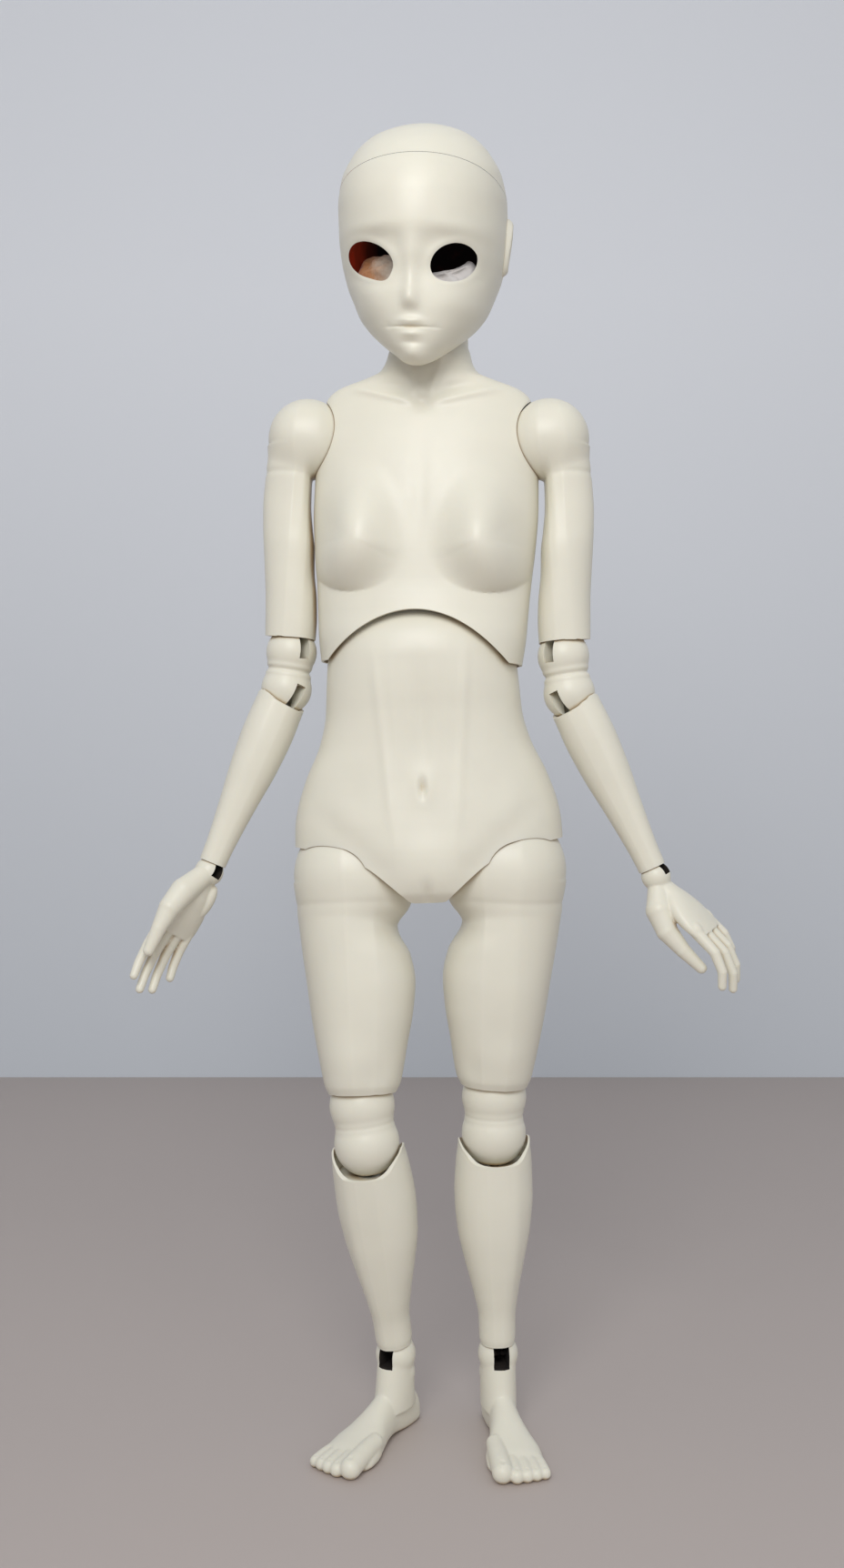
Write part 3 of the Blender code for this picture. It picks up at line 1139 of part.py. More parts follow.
def makeHand(name, side, foreFrame):
    wristTurn = newFrame("wrist_turn_" + name, foreFrame, (0, 0, -FOREARM_LENGTH))
    handTurn = leaning(side, HAND_LEAN_DEG[name], HAND_FORWARD_DEG[name], -HAND_TURN_DEG[name])
    wristTilt = newFrame("wrist_tilt_" + name, wristTurn, (0, 0, 0), handTurn)
    wristBend = newFrame("wrist_bend_" + name, wristTilt, (0, 0, 0))
    ball = (0, WRIST_BALL_RADIUS)
    top = -WRIST_BALL_RADIUS * PALM_TOP_SHARE
    rows = [(top - PALM_LENGTH * down, PALM_WIDTH / 2 * out, PALM_WIDTH / 2 * inn, PALM_DEPTH / 2 * front,
             PALM_DEPTH / 2 * back) for down, out, inn, front, back in PALM_RING_SHARES]
    smooth = [(-z, *rest) for z, *rest in eased([(-row[0], *row[1:]) for row in rows], PALM_ROWS)]
    levels = ballLevels(ball, WRIST_BALL_RADIUS * BALL_TOP_SHARE, top, 6)[:-1] + [row[0] for row in smooth]
    hand = addMesh("hand_" + name, skin(levels, limbReach(smooth, (ball,)), ARM_SEGMENTS, side), wristBend,
                   shellPlastic)
    for label, across, down, size in FINGER_SHARES:
        root = (PALM_WIDTH / 2 * across, 0, top - PALM_LENGTH * down + FINGER_RADIUS)
        finger = fingerMesh(root, FINGER_SPREAD_DEG[label], FINGER_BEND_DEG[label], FINGER_CURL_DEG,
                            FINGER_LENGTH * size, FINGER_RADIUS, side)
        combine(hand, "%s_finger_%s" % (label, name), finger, wristBend, "UNION")
    across, forward, down = THUMB_ROOT_SHARES
    root = (PALM_WIDTH / 2 * across, -PALM_DEPTH * forward, top - PALM_LENGTH * down)
    thumb = fingerMesh(root, THUMB_SPREAD_DEG, THUMB_FORWARD_DEG, FINGER_CURL_DEG / 2, THUMB_LENGTH, THUMB_RADIUS,
                       side)
    combine(hand, "thumb_" + name, thumb, wristBend, "UNION")
    deep = WRIST_HOOK_RADIUS + WRIST_HOOK_WIRE + HOOK_ROOM
    reach = WRIST_BALL_RADIUS * SLOT_OVERRUN_SHARE
    barEnd = WRIST_SLOT_WIDTH * WRIST_BAR_REACH_SHARE
    combine(hand, "wrist_slot_cutter_" + name,
            boxMesh((-WRIST_SLOT_WIDTH / 2, -reach, -deep), (WRIST_SLOT_WIDTH / 2, reach, reach)), wristBend,
            "DIFFERENCE")
    combine(hand, "wrist_bar_" + name,
            barMesh(WRIST_BAR_RADIUS, (-barEnd, 0, 0), (barEnd, 0, 0), BORE_SEGMENTS), wristBend, "UNION")
    hookTop = WRIST_HOOK_RADIUS + WRIST_HOOK_WIRE + GAP
    endFrame = newFrame("wrist_end_frame_" + name, wristTurn, (0, 0, 0))
    addCord("wrist_cord_end_" + name, [(0, 0, WRIST_BALL_RADIUS - GAP), (0, 0, hookTop)], endFrame)
    addHook("wrist_hook_" + name, wristTilt, turned("Y", 90), WRIST_HOOK_RADIUS, WRIST_HOOK_WIRE)


for sideName, sideSign in SIDES:
    makeArm(sideName, sideSign)


# Head
HEAD_HEIGHT = 0.0645
HEAD_WIDTH = 0.0526
HEAD_DEPTH = 0.0620
HEAD_ROWS = 22
CAP_TILT_DEG = 19.0
CAP_PLACE = (0.0, -0.0267, 0.0513)
EYE_SPACING = 0.0256
EYE_HEIGHT = 0.0186
EYE_SIZE = (0.0146, 0.0126)
NECK_RECESS_TOP = 0.0030
NECK_RECESS_WIDTH = 0.0300
FLOOR_HOLE_RADIUS = 0.0046
NECK_BAR_HEIGHT = 0.0172
NECK_BAR_LENGTH = 0.0150
NECK_BAR_RADIUS = 0.0010
NECK_RING_RADIUS = 0.0023
NECK_RING_WIRE = 0.0006
EAR_SIZE = (0.0034, 0.0090, 0.0180)
EAR_PLACE = (0.0262, 0.0030, 0.0265)
EAR_TILT_DEG = 12.0
SKULL_WIDEST_SHARE = 0.47
WADDING_SIZE = (0.0300, 0.0170, 0.0104)
WADDING_PLACE = (0.0, -0.0135, 0.0146)

# Height, half width, then where the face and the back of the head are, in shares of height, width and depth
HEAD_RING_SHARES = (
    (-0.178, 0.065, -0.440, -0.315),
    (-0.147, 0.145, -0.477, -0.222),
    (-0.109, 0.213, -0.494, -0.142),
    (-0.062, 0.278, -0.503, -0.045),
    (-0.016, 0.331, -0.510, 0.070),
    (0.047, 0.373, -0.510, 0.195),
    (0.109, 0.403, -0.510, 0.292),
    (0.186, 0.433, -0.504, 0.388),
    (0.279, 0.468, -0.487, 0.452),
    (0.372, 0.489, -0.500, 0.484),
    (0.496, 0.500, -0.516, 0.492),
    (0.620, 0.500, -0.503, 0.468),
    (0.744, 0.471, -0.460, 0.403),
    (0.853, 0.395, -0.379, 0.306),
    (0.930, 0.295, -0.274, 0.194),
    (0.977, 0.162, -0.153, 0.081),
    (0.996, 0.060, -0.070, -0.005),
)
# Height, half width, front and back of the hollow, in shares of the same sizes
CAVITY_RING_SHARES = (
    (0.140, 0.150, -0.370, -0.150),
    (0.165, 0.250, -0.420, -0.040),
    (0.215, 0.340, -0.440, 0.080),
    (0.260, 0.400, -0.440, 0.330),
    (0.350, 0.440, -0.452, 0.440),
    (0.496, 0.456, -0.474, 0.452),
    (0.620, 0.456, -0.462, 0.430),
    (0.744, 0.427, -0.418, 0.364),
    (0.853, 0.350, -0.334, 0.264),
    (0.915, 0.262, -0.240, 0.160),
    (0.950, 0.150, -0.150, 0.070),
)


# Soft forms of the face: across, height, width and height of the form, and how far it stands out,
# or in if below zero
FACE_FORM_SHARES = (
    (0.000, 0.150, 0.065, 0.045, 0.0480),
    (0.060, 0.128, 0.030, 0.030, 0.0150),
    (0.000, 0.230, 0.045, 0.100, 0.0230),
    (0.000, 0.330, 0.050, 0.060, 0.0060),
    (0.250, 0.290, 0.150, 0.110, -0.0330),
    (0.300, 0.140, 0.120, 0.100, 0.0160),
    (0.240, 0.440, 0.160, 0.050, 0.0100),
    (0.000, 0.022, 0.095, 0.018, 0.0200),
    (0.000, -0.018, 0.075, 0.020, 0.0200),
    (0.000, 0.002, 0.110, 0.008, -0.0080),
    (0.000, -0.062, 0.110, 0.022, -0.0130),
    (0.000, -0.120, 0.110, 0.040, 0.0120),
)


def headRows(shares, count):
    return [(HEAD_HEIGHT * up, HEAD_WIDTH * wide, HEAD_DEPTH * front, HEAD_DEPTH * back)
            for up, wide, front, back in eased(shares, count)]


def headSkin(rows, segments, shape=None):
    """A skin whose rings keep their widest point nearer the back, as a skull does."""
    bm = bmesh.new()
    rings = []
    for z, wide, front, back in rows:
        middle = back - (back - front) * SKULL_WIDEST_SHARE
        ring = []
        for k in range(segments):
            a = math.tau * k / segments
            along = back - middle if math.sin(a) > 0 else middle - front
            point = Vector((wide * math.cos(a), middle + along * math.sin(a), z))
            if shape:
                point = shape(point, a)
            ring.append(bm.verts.new(point))
        rings.append(ring)
    for low, high in zip(rings, rings[1:]):
        for k in range(segments):
            after = (k + 1) % segments
            bm.faces.new((low[k], low[after], high[after], high[k]))
    bm.faces.new(rings[0])
    bm.faces.new(rings[-1])
    return bm


def faceShape(point, angle):
    """The face's forms, laid on the front of the skull by height and by distance from the middle."""
    if math.sin(angle) < 0:
        across, up = abs(point.x) / HEAD_WIDTH, point.z / HEAD_HEIGHT
        out = 0.0
        for middle, height, wide, tall, reach in FACE_FORM_SHARES:
            near = ((across - middle) / wide) ** 2 + ((up - height) / tall) ** 2
            out += reach * HEAD_DEPTH * math.exp(-near)
        point.y -= out * min(1.0, -math.sin(angle) * 2)
    return point


def makeHead():
    headFrame = neckTurn
    rows = headRows(HEAD_RING_SHARES, HEAD_ROWS)
    hollow = headRows(CAVITY_RING_SHARES, HEAD_ROWS // 2)
    capTurn = turned("X", -CAP_TILT_DEG)
    capPlace = Vector(CAP_PLACE)
    capSlide = newFrame("cap_slide", headFrame, capPlace, worldTurns[headFrame.name] @ capTurn)
    shell = addMesh("head_shell", headSkin(rows, HEAD_SEGMENTS, faceShape), headFrame, shellPlastic)
    for index, side in SIDES:
        ear = ballMesh(EAR_SIZE[2] / 2, ARM_SEGMENTS)
        tilt = turned("X", -EAR_TILT_DEG) @ Matrix.Diagonal(Vector(EAR_SIZE) / EAR_SIZE[2])
        bmesh.ops.transform(ear, verts=ear.verts, matrix=tilt.to_4x4())
        movedMesh(ear, (side * EAR_PLACE[0], EAR_PLACE[1], EAR_PLACE[2]))
        combine(shell, "ear_" + index, ear, headFrame, "UNION")
    combine(shell, "head_cavity_cutter", headSkin(hollow, HEAD_SEGMENTS - 6), headFrame, "DIFFERENCE")
    for index, side in SIDES:
        eye = barMesh(EYE_SIZE[0] / 2, (0, 0, -HEAD_DEPTH), (0, 0, 0), SOCKET_SEGMENTS)
        spot = Matrix.Translation((side * EYE_SPACING / 2, 0, EYE_HEIGHT)) @ turned("X", -90).to_4x4()
        size = Matrix.Diagonal((1, EYE_SIZE[1] / EYE_SIZE[0], 1, 1))
        bmesh.ops.transform(eye, verts=eye.verts, matrix=spot @ size)
        combine(shell, "eye_opening_cutter_" + index, eye, headFrame, "DIFFERENCE")
    combine(shell, "neck_pocket_cutter", socketMesh(NECK_BALL_RADIUS, SOCKET_SEGMENTS), headFrame, "DIFFERENCE")
    combine(shell, "neck_recess_cutter",
            barMesh(NECK_RECESS_WIDTH / 2, (0, 0, NECK_RECESS_TOP), (0, 0, -HEAD_WIDTH), SOCKET_SEGMENTS,
                    HEAD_WIDTH / 2), headFrame, "DIFFERENCE")
    floorHole = skin([NECK_RECESS_TOP, NECK_BAR_HEIGHT], lambda z, angle: FLOOR_HOLE_RADIUS, BORE_SEGMENTS + 4,
                     phase=BORE_PHASE)
    combine(shell, "neck_floor_cutter", floorHole, headFrame, "DIFFERENCE")
    high = HEAD_DEPTH
    combine(shell, "cap_seam_cutter", boxMesh((-high, -high, 0), (high, high * 2, high)), capSlide, "DIFFERENCE")

    cap = addMesh("head_cap", headSkin(rows, HEAD_SEGMENTS, faceShape), headFrame, shellPlastic)
    combine(cap, "cap_cavity_cutter", headSkin(hollow, HEAD_SEGMENTS - 6), headFrame, "DIFFERENCE")
    combine(cap, "cap_seam_lower_cutter", boxMesh((-high, -high, -high * 2), (high, high * 2, GAP)), capSlide,
            "DIFFERENCE")

    wadding = ballMesh(WADDING_SIZE[0] / 2, ARM_SEGMENTS, WADDING_PLACE, Vector(WADDING_SIZE) / WADDING_SIZE[0])
    addMesh("head_wadding", wadding, headFrame, waddingFibre)
    barEnd = NECK_BAR_LENGTH / 2
    bar = barMesh(NECK_BAR_RADIUS, (-barEnd, 0, NECK_BAR_HEIGHT), (barEnd, 0, NECK_BAR_HEIGHT), BORE_SEGMENTS)
    hook = addMesh("neck_hook", bar, headFrame, hookSteel)
    ring = ringMesh(turned("Y", 90), NECK_RING_RADIUS, NECK_RING_WIRE)
    movedMesh(ring, (0, 0, NECK_BAR_HEIGHT - NECK_RING_RADIUS))
    combine(hook, "neck_ring", ring, headFrame, "UNION")


makeHead()
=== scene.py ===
# A strung ball jointed doll, as in the photograph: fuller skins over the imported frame.
import json
import math

import bmesh
import bpy
import numpy as np
from mathutils import Matrix, Vector


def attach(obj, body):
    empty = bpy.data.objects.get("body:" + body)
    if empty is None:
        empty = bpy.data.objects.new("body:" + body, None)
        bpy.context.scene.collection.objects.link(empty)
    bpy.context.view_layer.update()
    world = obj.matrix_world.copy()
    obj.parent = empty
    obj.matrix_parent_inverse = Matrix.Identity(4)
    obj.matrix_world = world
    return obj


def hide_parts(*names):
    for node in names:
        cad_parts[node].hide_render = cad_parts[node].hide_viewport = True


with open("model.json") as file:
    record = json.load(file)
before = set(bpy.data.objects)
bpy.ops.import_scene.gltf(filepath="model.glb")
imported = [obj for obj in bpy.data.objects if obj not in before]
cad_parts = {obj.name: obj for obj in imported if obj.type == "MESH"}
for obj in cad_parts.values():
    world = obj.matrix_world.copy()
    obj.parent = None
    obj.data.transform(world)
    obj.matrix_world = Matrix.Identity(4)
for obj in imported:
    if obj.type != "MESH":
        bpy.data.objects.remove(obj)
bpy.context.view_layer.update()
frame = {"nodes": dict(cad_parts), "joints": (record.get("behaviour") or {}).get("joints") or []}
print("frame loaded")

# What a user would change
camera = {
    "distance": 0.435,
    "aside": -0.0020,
    "height": 0.206,
    "lensShare": 1500 / 1724,
    "sensor": 36.0,
}
studio = {
    "floorDepth": 0.53,
    "floorColor": (0.50, 0.44, 0.41),
    "wallLow": (0.70, 0.74, 0.785),
    "wallHigh": (0.93, 0.96, 1.0),
    "worldColor": (0.93, 0.95, 1.0),
    "worldStrength": 0.51,
    "keyPower": 3.15,
    "keyPlace": (-0.08, -0.64, 0.62),
    "keySize": 0.45,
    "fillPower": 0.6,
    "fillPlace": (0.55, -0.85, 0.35),
    "fillSize": 0.5,
}
plastic = {
    "color": (0.80, 0.772, 0.652),
    "shade": (0.56, 0.44, 0.28),
    "roughness": 0.36,
    "layerPitch": 0.00035,
    "layerDepth": 0.012,
    "grainDepth": 0.02,
    "seamReach": 0.0022,
    "glow": 0.10,
    "glowReach": 0.0025,
}
detail = {"ball": 64}


# Stage, lights and camera
def makeMaterial(name):
    material = bpy.data.materials.new(name)
    material.use_nodes = True
    return material, material.node_tree, material.node_tree.nodes["Principled BSDF"]


def addNode(tree, kind, values=None, **settings):
    node = tree.nodes.new(kind)
    for key, value in settings.items():
        setattr(node, key, value)
    for key, value in (values or {}).items():
        node.inputs[key].default_value = value
    return node


def addRamp(tree, source, stops):
    ramp = tree.nodes.new("ShaderNodeValToRGB")
    while len(ramp.color_ramp.elements) < len(stops):
        ramp.color_ramp.elements.new(0.5)
    for element, (place, color) in zip(ramp.color_ramp.elements, stops):
        element.position = place
        element.color = (*color, 1.0)
    tree.links.new(source, ramp.inputs["Fac"])
    return ramp


def makeStage():
    material, tree, shader = makeMaterial("paleFloor")
    shader.inputs["Roughness"].default_value = 0.6
    place = addNode(tree, "ShaderNodeTexCoord")
    noise = addNode(tree, "ShaderNodeTexNoise", {"Scale": 6.0, "Detail": 3.0})
    tree.links.new(place.outputs["Object"], noise.inputs["Vector"])
    base = studio["floorColor"]
    ramp = addRamp(tree, noise.outputs["Fac"], [(0.3, [c * 0.985 for c in base]), (0.7, base)])
    tree.links.new(ramp.outputs["Color"], shader.inputs["Base Color"])
    wall, wallTree, wallShader = makeMaterial("paleWall")
    wallPlace = addNode(wallTree, "ShaderNodeTexCoord")
    heights = addNode(wallTree, "ShaderNodeSeparateXYZ")
    wallTree.links.new(wallPlace.outputs["Object"], heights.inputs["Vector"])
    # painted light: the wall's colour runs from darker low to lighter high, as the light falls off down the wall
    wallRamp = addRamp(wallTree, heights.outputs["Z"], [(0.0, studio["wallLow"]), (0.55, studio["wallHigh"])])
    wallTree.links.new(wallRamp.outputs["Color"], wallShader.inputs["Base Color"])
    wallShader.inputs["Roughness"].default_value = 0.9
    back = studio["floorDepth"]
    for name, corners, paint in (
            ("floor", [(-3, -3, 0), (3, -3, 0), (3, back, 0), (-3, back, 0)], material),
            ("wall", [(-3, back, 0), (3, back, 0), (3, back, 3), (-3, back, 3)], wall)):
        mesh = bpy.data.meshes.new(name)
        mesh.from_pydata(corners, [], [(0, 1, 2, 3)])
        mesh.materials.append(paint)
        plane = bpy.data.objects.new(name, mesh)
        bpy.context.scene.collection.objects.link(plane)


def addLight(name, place, size, power, color=(1, 1, 1)):
    light = bpy.data.lights.new(name, "AREA")
    light.shape = "DISK"
    light.size = size
    light.energy = power
    light.color = color
    lamp = bpy.data.objects.new(name, light)
    lamp.location = place
    aim = Vector((0, 0, 0.22)) - Vector(place)
    lamp.rotation_euler = aim.to_track_quat("-Z", "Y").to_euler()
    bpy.context.scene.collection.objects.link(lamp)


def makeView():
    data = bpy.data.cameras.new("photoCamera")
    data.sensor_fit = "VERTICAL"
    data.sensor_height = camera["sensor"]
    data.lens = camera["sensor"] * camera["lensShare"]
    data.clip_start = 0.01
    eye = bpy.data.objects.new("photoCamera", data)
    hips = bodyFrames["pelvis"].translation
    eye.location = (camera["aside"], hips.y - camera["distance"], camera["height"])
    eye.rotation_euler = (math.radians(90), 0, 0)
    bpy.context.scene.collection.objects.link(eye)
    bpy.context.scene.camera = eye
    world = bpy.data.worlds.new("studioAir")
    world.use_nodes = True
    air = world.node_tree.nodes["Background"]
    air.inputs["Color"].default_value = (*studio["worldColor"], 1)
    air.inputs["Strength"].default_value = studio["worldStrength"]
    bpy.context.scene.world = world
    addLight("keyLight", studio["keyPlace"], studio["keySize"], studio["keyPower"])
    addLight("fillLight", studio["fillPlace"], studio["fillSize"], studio["fillPower"])
    bpy.context.scene.view_settings.view_transform = "Standard"


# The frame of each body at rest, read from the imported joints
joints = {joint["name"]: joint for joint in frame["joints"]}
sides = (("right", -1), ("left", 1))


def frameOf(origin, x, z):
    # A matrix with its Z along z and its X as near to x as can be
    z = Vector(z).normalized()
    x = Vector(x)
    x = (x - z * x.dot(z)).normalized()
    y = z.cross(x)
    turn = Matrix((x, y, z)).transposed()
    return Matrix.Translation(Vector(origin)) @ turn.to_4x4()


def jointPlace(name):
    return Vector(joints[name]["pos_m"])


def jointAxis(name, sign=1):
    return Vector(joints[name]["axis"]) * sign


def findFrames():
    found = {}
    hips = [jointPlace("hip_bend_" + name) for name, side in sides]
    across = (hips[1] - hips[0]).normalized()
    middle = (hips[0] + hips[1]) / 2
    found["pelvis"] = frameOf(middle, across, jointPlace("waist_bend") - middle)
    found["chest"] = frameOf(jointPlace("waist_turn"), jointAxis("waist_bend"), jointAxis("waist_turn"))
    headBack = jointAxis("neck_tilt", -1)
    headUp = jointAxis("neck_turn")
    found["head"] = frameOf(jointPlace("neck_turn"), headBack.cross(headUp), headUp)
    for name, side in sides:
        armUp = jointAxis("shoulder_turn_" + name, side)
        found["upperArm" + name] = frameOf(jointPlace("shoulder_turn_" + name), Vector((0, 1, 0)).cross(armUp), armUp)
        upper, lower = jointPlace("elbow_upper_" + name), jointPlace("elbow_lower_" + name)
        found["elbow" + name] = frameOf(upper, jointAxis("elbow_upper_" + name, -1), upper - lower)
        found["elbowFold" + name] = frameOf(upper, jointAxis("elbow_upper_" + name, -1), armUp)
        found["forearm" + name] = frameOf(lower, jointAxis("elbow_lower_" + name, -1),
                                          jointAxis("wrist_turn_" + name))
        handX, handY = jointAxis("wrist_bend_" + name), jointAxis("wrist_tilt_" + name)
        found["hand" + name] = frameOf(jointPlace("wrist_bend_" + name), handX, handX.cross(handY))
        found["thigh" + name] = frameOf(jointPlace("hip_turn_" + name), jointAxis("knee_upper_" + name),
                                        jointAxis("hip_turn_" + name, side))
        upper, lower = jointPlace("knee_upper_" + name), jointPlace("knee_lower_" + name)
        found["knee" + name] = frameOf(upper, jointAxis("knee_upper_" + name), upper - lower)
        found["shin" + name] = frameOf(lower, jointAxis("knee_lower_" + name), jointAxis("ankle_turn_" + name))
        found["foot" + name] = frameOf(jointPlace("ankle_bend_" + name), jointAxis("ankle_bend_" + name), (0, 0, 1))
    return found


bodyFrames = findFrames()
makeStage()
makeView()
print("stage and camera set")


# Shape helpers. A piece is drawn in its own frame: +X is its outer side, -Y its front and +Z up
gap = 0.0003
unit = 0.001


def curveAt(keys, values, at):
    # A smooth curve through the points that never overshoots them
    keys, values, at = np.asarray(keys, float), np.asarray(values, float), np.asarray(at, float)
    if keys[0] > keys[-1]:
        keys, values = keys[::-1], values[::-1]
    rates = np.diff(values) / np.diff(keys)
    slopes = np.empty_like(values)
    slopes[0], slopes[-1] = rates[0], rates[-1]
    product = rates[:-1] * rates[1:]
    total = rates[:-1] + rates[1:]
    slopes[1:-1] = np.where(product > 0, 2 * product / np.where(total == 0, 1, total), 0)
    at = np.clip(at, keys[0], keys[-1])
    i = np.clip(np.searchsorted(keys, at) - 1, 0, len(keys) - 2)
    span = keys[i + 1] - keys[i]
    t = (at - keys[i]) / span
    return ((2 * t ** 3 - 3 * t ** 2 + 1) * values[i] + (t ** 3 - 2 * t ** 2 + t) * span * slopes[i]
            + (3 * t ** 2 - 2 * t ** 3) * values[i + 1] + (t ** 3 - t ** 2) * span * slopes[i + 1])


def columnsAt(rows, at):
    keys = [row[0] for row in rows]
    return [curveAt(keys, [row[c] for row in rows], at) for c in range(1, len(rows[0]))]


def ovalReach(angles, out, inn, front, back, power=2.0):
    across = np.where(np.cos(angles) > 0, out, inn)
    along = np.where(np.sin(angles) > 0, back, front)
    total = (np.abs(np.cos(angles)) / across) ** power + (np.abs(np.sin(angles)) / along) ** power
    return total ** (-1 / power)


def smoothMax(a, b, width):
    # The larger of two, rounded where they meet
    if width <= 0:
        return np.maximum(a, b)
    h = np.clip(0.5 + (a - b) / (2 * width), 0, 1)
    return b + (a - b) * h + width * h * (1 - h)


def bump(angles, z, degrees, height, wide, tall):
    # A soft rise on a round piece, by its direction in degrees and its height
    far = (np.degrees(angles) - degrees + 180) % 360 - 180
    return np.exp(-(far / wide) ** 2 - ((z - height) / tall) ** 2)


def gridMesh(points):
    # A closed mesh through rings of points, rows by segments by three
    rows, count = points.shape[:2]
    index = np.arange(rows * count).reshape(rows, count)
    after = np.roll(index, -1, axis=1)
    quads = np.stack([index[:-1], after[:-1], after[1:], index[1:]], -1).reshape(-1, 4)
    faces = quads.tolist() + [index[0].tolist(), index[-1][::-1].tolist()]
    mesh = bpy.data.meshes.new("shell")
    mesh.from_pydata(points.reshape(-1, 3).tolist(), [], faces)
    bm = bmesh.new()
    bm.from_mesh(mesh)
    bmesh.ops.recalc_face_normals(bm, faces=bm.faces)
    bm.to_mesh(mesh)
    bm.free()
    return mesh


def polarMesh(zs, reach, segments, side=1, centre=None):
    # A skin round the Z axis; centre gives each ring's middle in y
    angles = np.arange(segments) / segments * 2 * np.pi
    z, a = np.meshgrid(zs, angles, indexing="ij")
    r = reach(z, a)
    y = r * np.sin(a)
    if centre is not None:
        y = y + centre(z)
    return gridMesh(np.stack([r * np.cos(a) * side, y, z], -1))


def ballLevels(centre, radius, top, bottom, count):
    first = math.acos(max(-1, min(1, (top - centre) / radius)))
    last = math.acos(max(-1, min(1, (bottom - centre) / radius)))
    return centre + radius * np.cos(np.linspace(first, last, count))


def bmMesh(bm):
    bmesh.ops.recalc_face_normals(bm, faces=bm.faces)
    mesh = bpy.data.meshes.new("solid")
    bm.to_mesh(mesh)
    bm.free()
    return mesh


def ballMesh(radius, place=(0, 0, 0), scale=(1, 1, 1), segments=None, turn=None):
    bm = bmesh.new()
    segments = segments or detail["ball"]
    bmesh.ops.create_uvsphere(bm, u_segments=segments, v_segments=segments // 2, radius=radius)
    spot = Matrix.Translation(Vector(place)) @ (turn or Matrix.Identity(4)) @ Matrix.Diagonal((*scale, 1))
    bmesh.ops.transform(bm, verts=bm.verts, matrix=spot)
    return bmMesh(bm)


def barMesh(start, end, radius, endRadius=None, segments=32):
    start, end = Vector(start), Vector(end)
    run = end - start
    bm = bmesh.new()
    spot = Matrix.Translation((start + end) / 2) @ run.to_track_quat("Z", "Y").to_matrix().to_4x4()
    bmesh.ops.create_cone(bm, cap_ends=True, segments=segments, radius1=radius,
                          radius2=radius if endRadius is None else endRadius, depth=run.length, matrix=spot)
    return bmMesh(bm)


def boxMesh(low, high):
    low, high = Vector(low), Vector(high)
    bm = bmesh.new()
    spot = Matrix.Translation((low + high) / 2) @ Matrix.Diagonal((*(high - low), 1))
    bmesh.ops.create_cube(bm, size=1, matrix=spot)
    return bmMesh(bm)


def prismMesh(line, low, high, turn):
    # A flat outline of (u, v) drawn out along w
    bm = bmesh.new()
    near = [bm.verts.new(turn @ Vector((u, v, low))) for u, v in line]
    far = [bm.verts.new(turn @ Vector((u, v, high))) for u, v in line]
    bm.faces.new(near)
    bm.faces.new(far)
    for k in range(len(line)):
        after = (k + 1) % len(line)
        bm.faces.new((near[k], near[after], far[after], far[k]))
    return bmMesh(bm)


acrossTurn = Matrix(((0, 0, 1), (1, 0, 0), (0, 1, 0)))
uprightTurn = Matrix(((1, 0, 0), (0, 0, -1), (0, 1, 0)))


def tubeMesh(points, radius, segments=24):
    curve = bpy.data.curves.new("tube", "CURVE")
    curve.dimensions = "3D"
    curve.bevel_depth = radius
    curve.bevel_resolution = segments // 4
    curve.use_fill_caps = True
    spline = curve.splines.new("POLY")
    spline.points.add(len(points) - 1)
    for spot, point in zip(spline.points, points):
        spot.co = (*point, 1)
    wire = bpy.data.objects.new("tube", curve)
    bpy.context.scene.collection.objects.link(wire)
    bpy.context.view_layer.update()
    mesh = bpy.data.meshes.new_from_object(wire.evaluated_get(bpy.context.evaluated_depsgraph_get()))
    bpy.data.objects.remove(wire, do_unlink=True)
    bm = bmesh.new()
    bm.from_mesh(mesh)
    bmesh.ops.remove_doubles(bm, verts=bm.verts, dist=1e-6)
    bmesh.ops.triangulate(bm, faces=[face for face in bm.faces if len(face.verts) > 4])
    return bmMesh(bm)


def makePiece(name, mesh, place):
    mesh.transform(place)
    piece = bpy.data.objects.new(name, mesh)
    bpy.context.scene.collection.objects.link(piece)
    return piece


def applyAll(piece):
    bpy.context.view_layer.update()
    mesh = bpy.data.meshes.new_from_object(piece.evaluated_get(bpy.context.evaluated_depsgraph_get()))
    piece.modifiers.clear()
    old = piece.data
    piece.data = mesh
    bpy.data.meshes.remove(old)
    return piece


def carve(piece, steps, place):
    # Each step is (operation, mesh, frame or None for the piece's own)
    tools = []
    for operation, mesh, spot in steps:
        tool = makePiece("tool", mesh, spot or place)
        step = piece.modifiers.new("step", "BOOLEAN")
        step.operation = operation
        step.object = tool
        step.solver = "MANIFOLD"
        tools.append(tool)
    applyAll(piece)
    for tool in tools:
        mesh = tool.data
        bpy.data.objects.remove(tool, do_unlink=True)
        bpy.data.meshes.remove(mesh)
    return piece


def paintSlot(piece, place, low, high):
    # The faces inside a slot look black, as no light reaches them
    inverse = place.inverted()
    edge = 0.00002
    for face in piece.data.polygons:
        spot = inverse @ face.center
        if all(a - edge <= c <= b + edge for a, c, b in zip(low, spot, high)):
            face.material_index = 1


def finishShell(piece, paint, body, nodes):
    piece.data.materials.clear()
    for item in paint if isinstance(paint, (list, tuple)) else [paint]:
        piece.data.materials.append(item)
    piece.data.shade_smooth()
    piece.data.set_sharp_from_angle(angle=math.radians(38))
    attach(piece, body)
    if nodes:
        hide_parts(*nodes)
    return piece


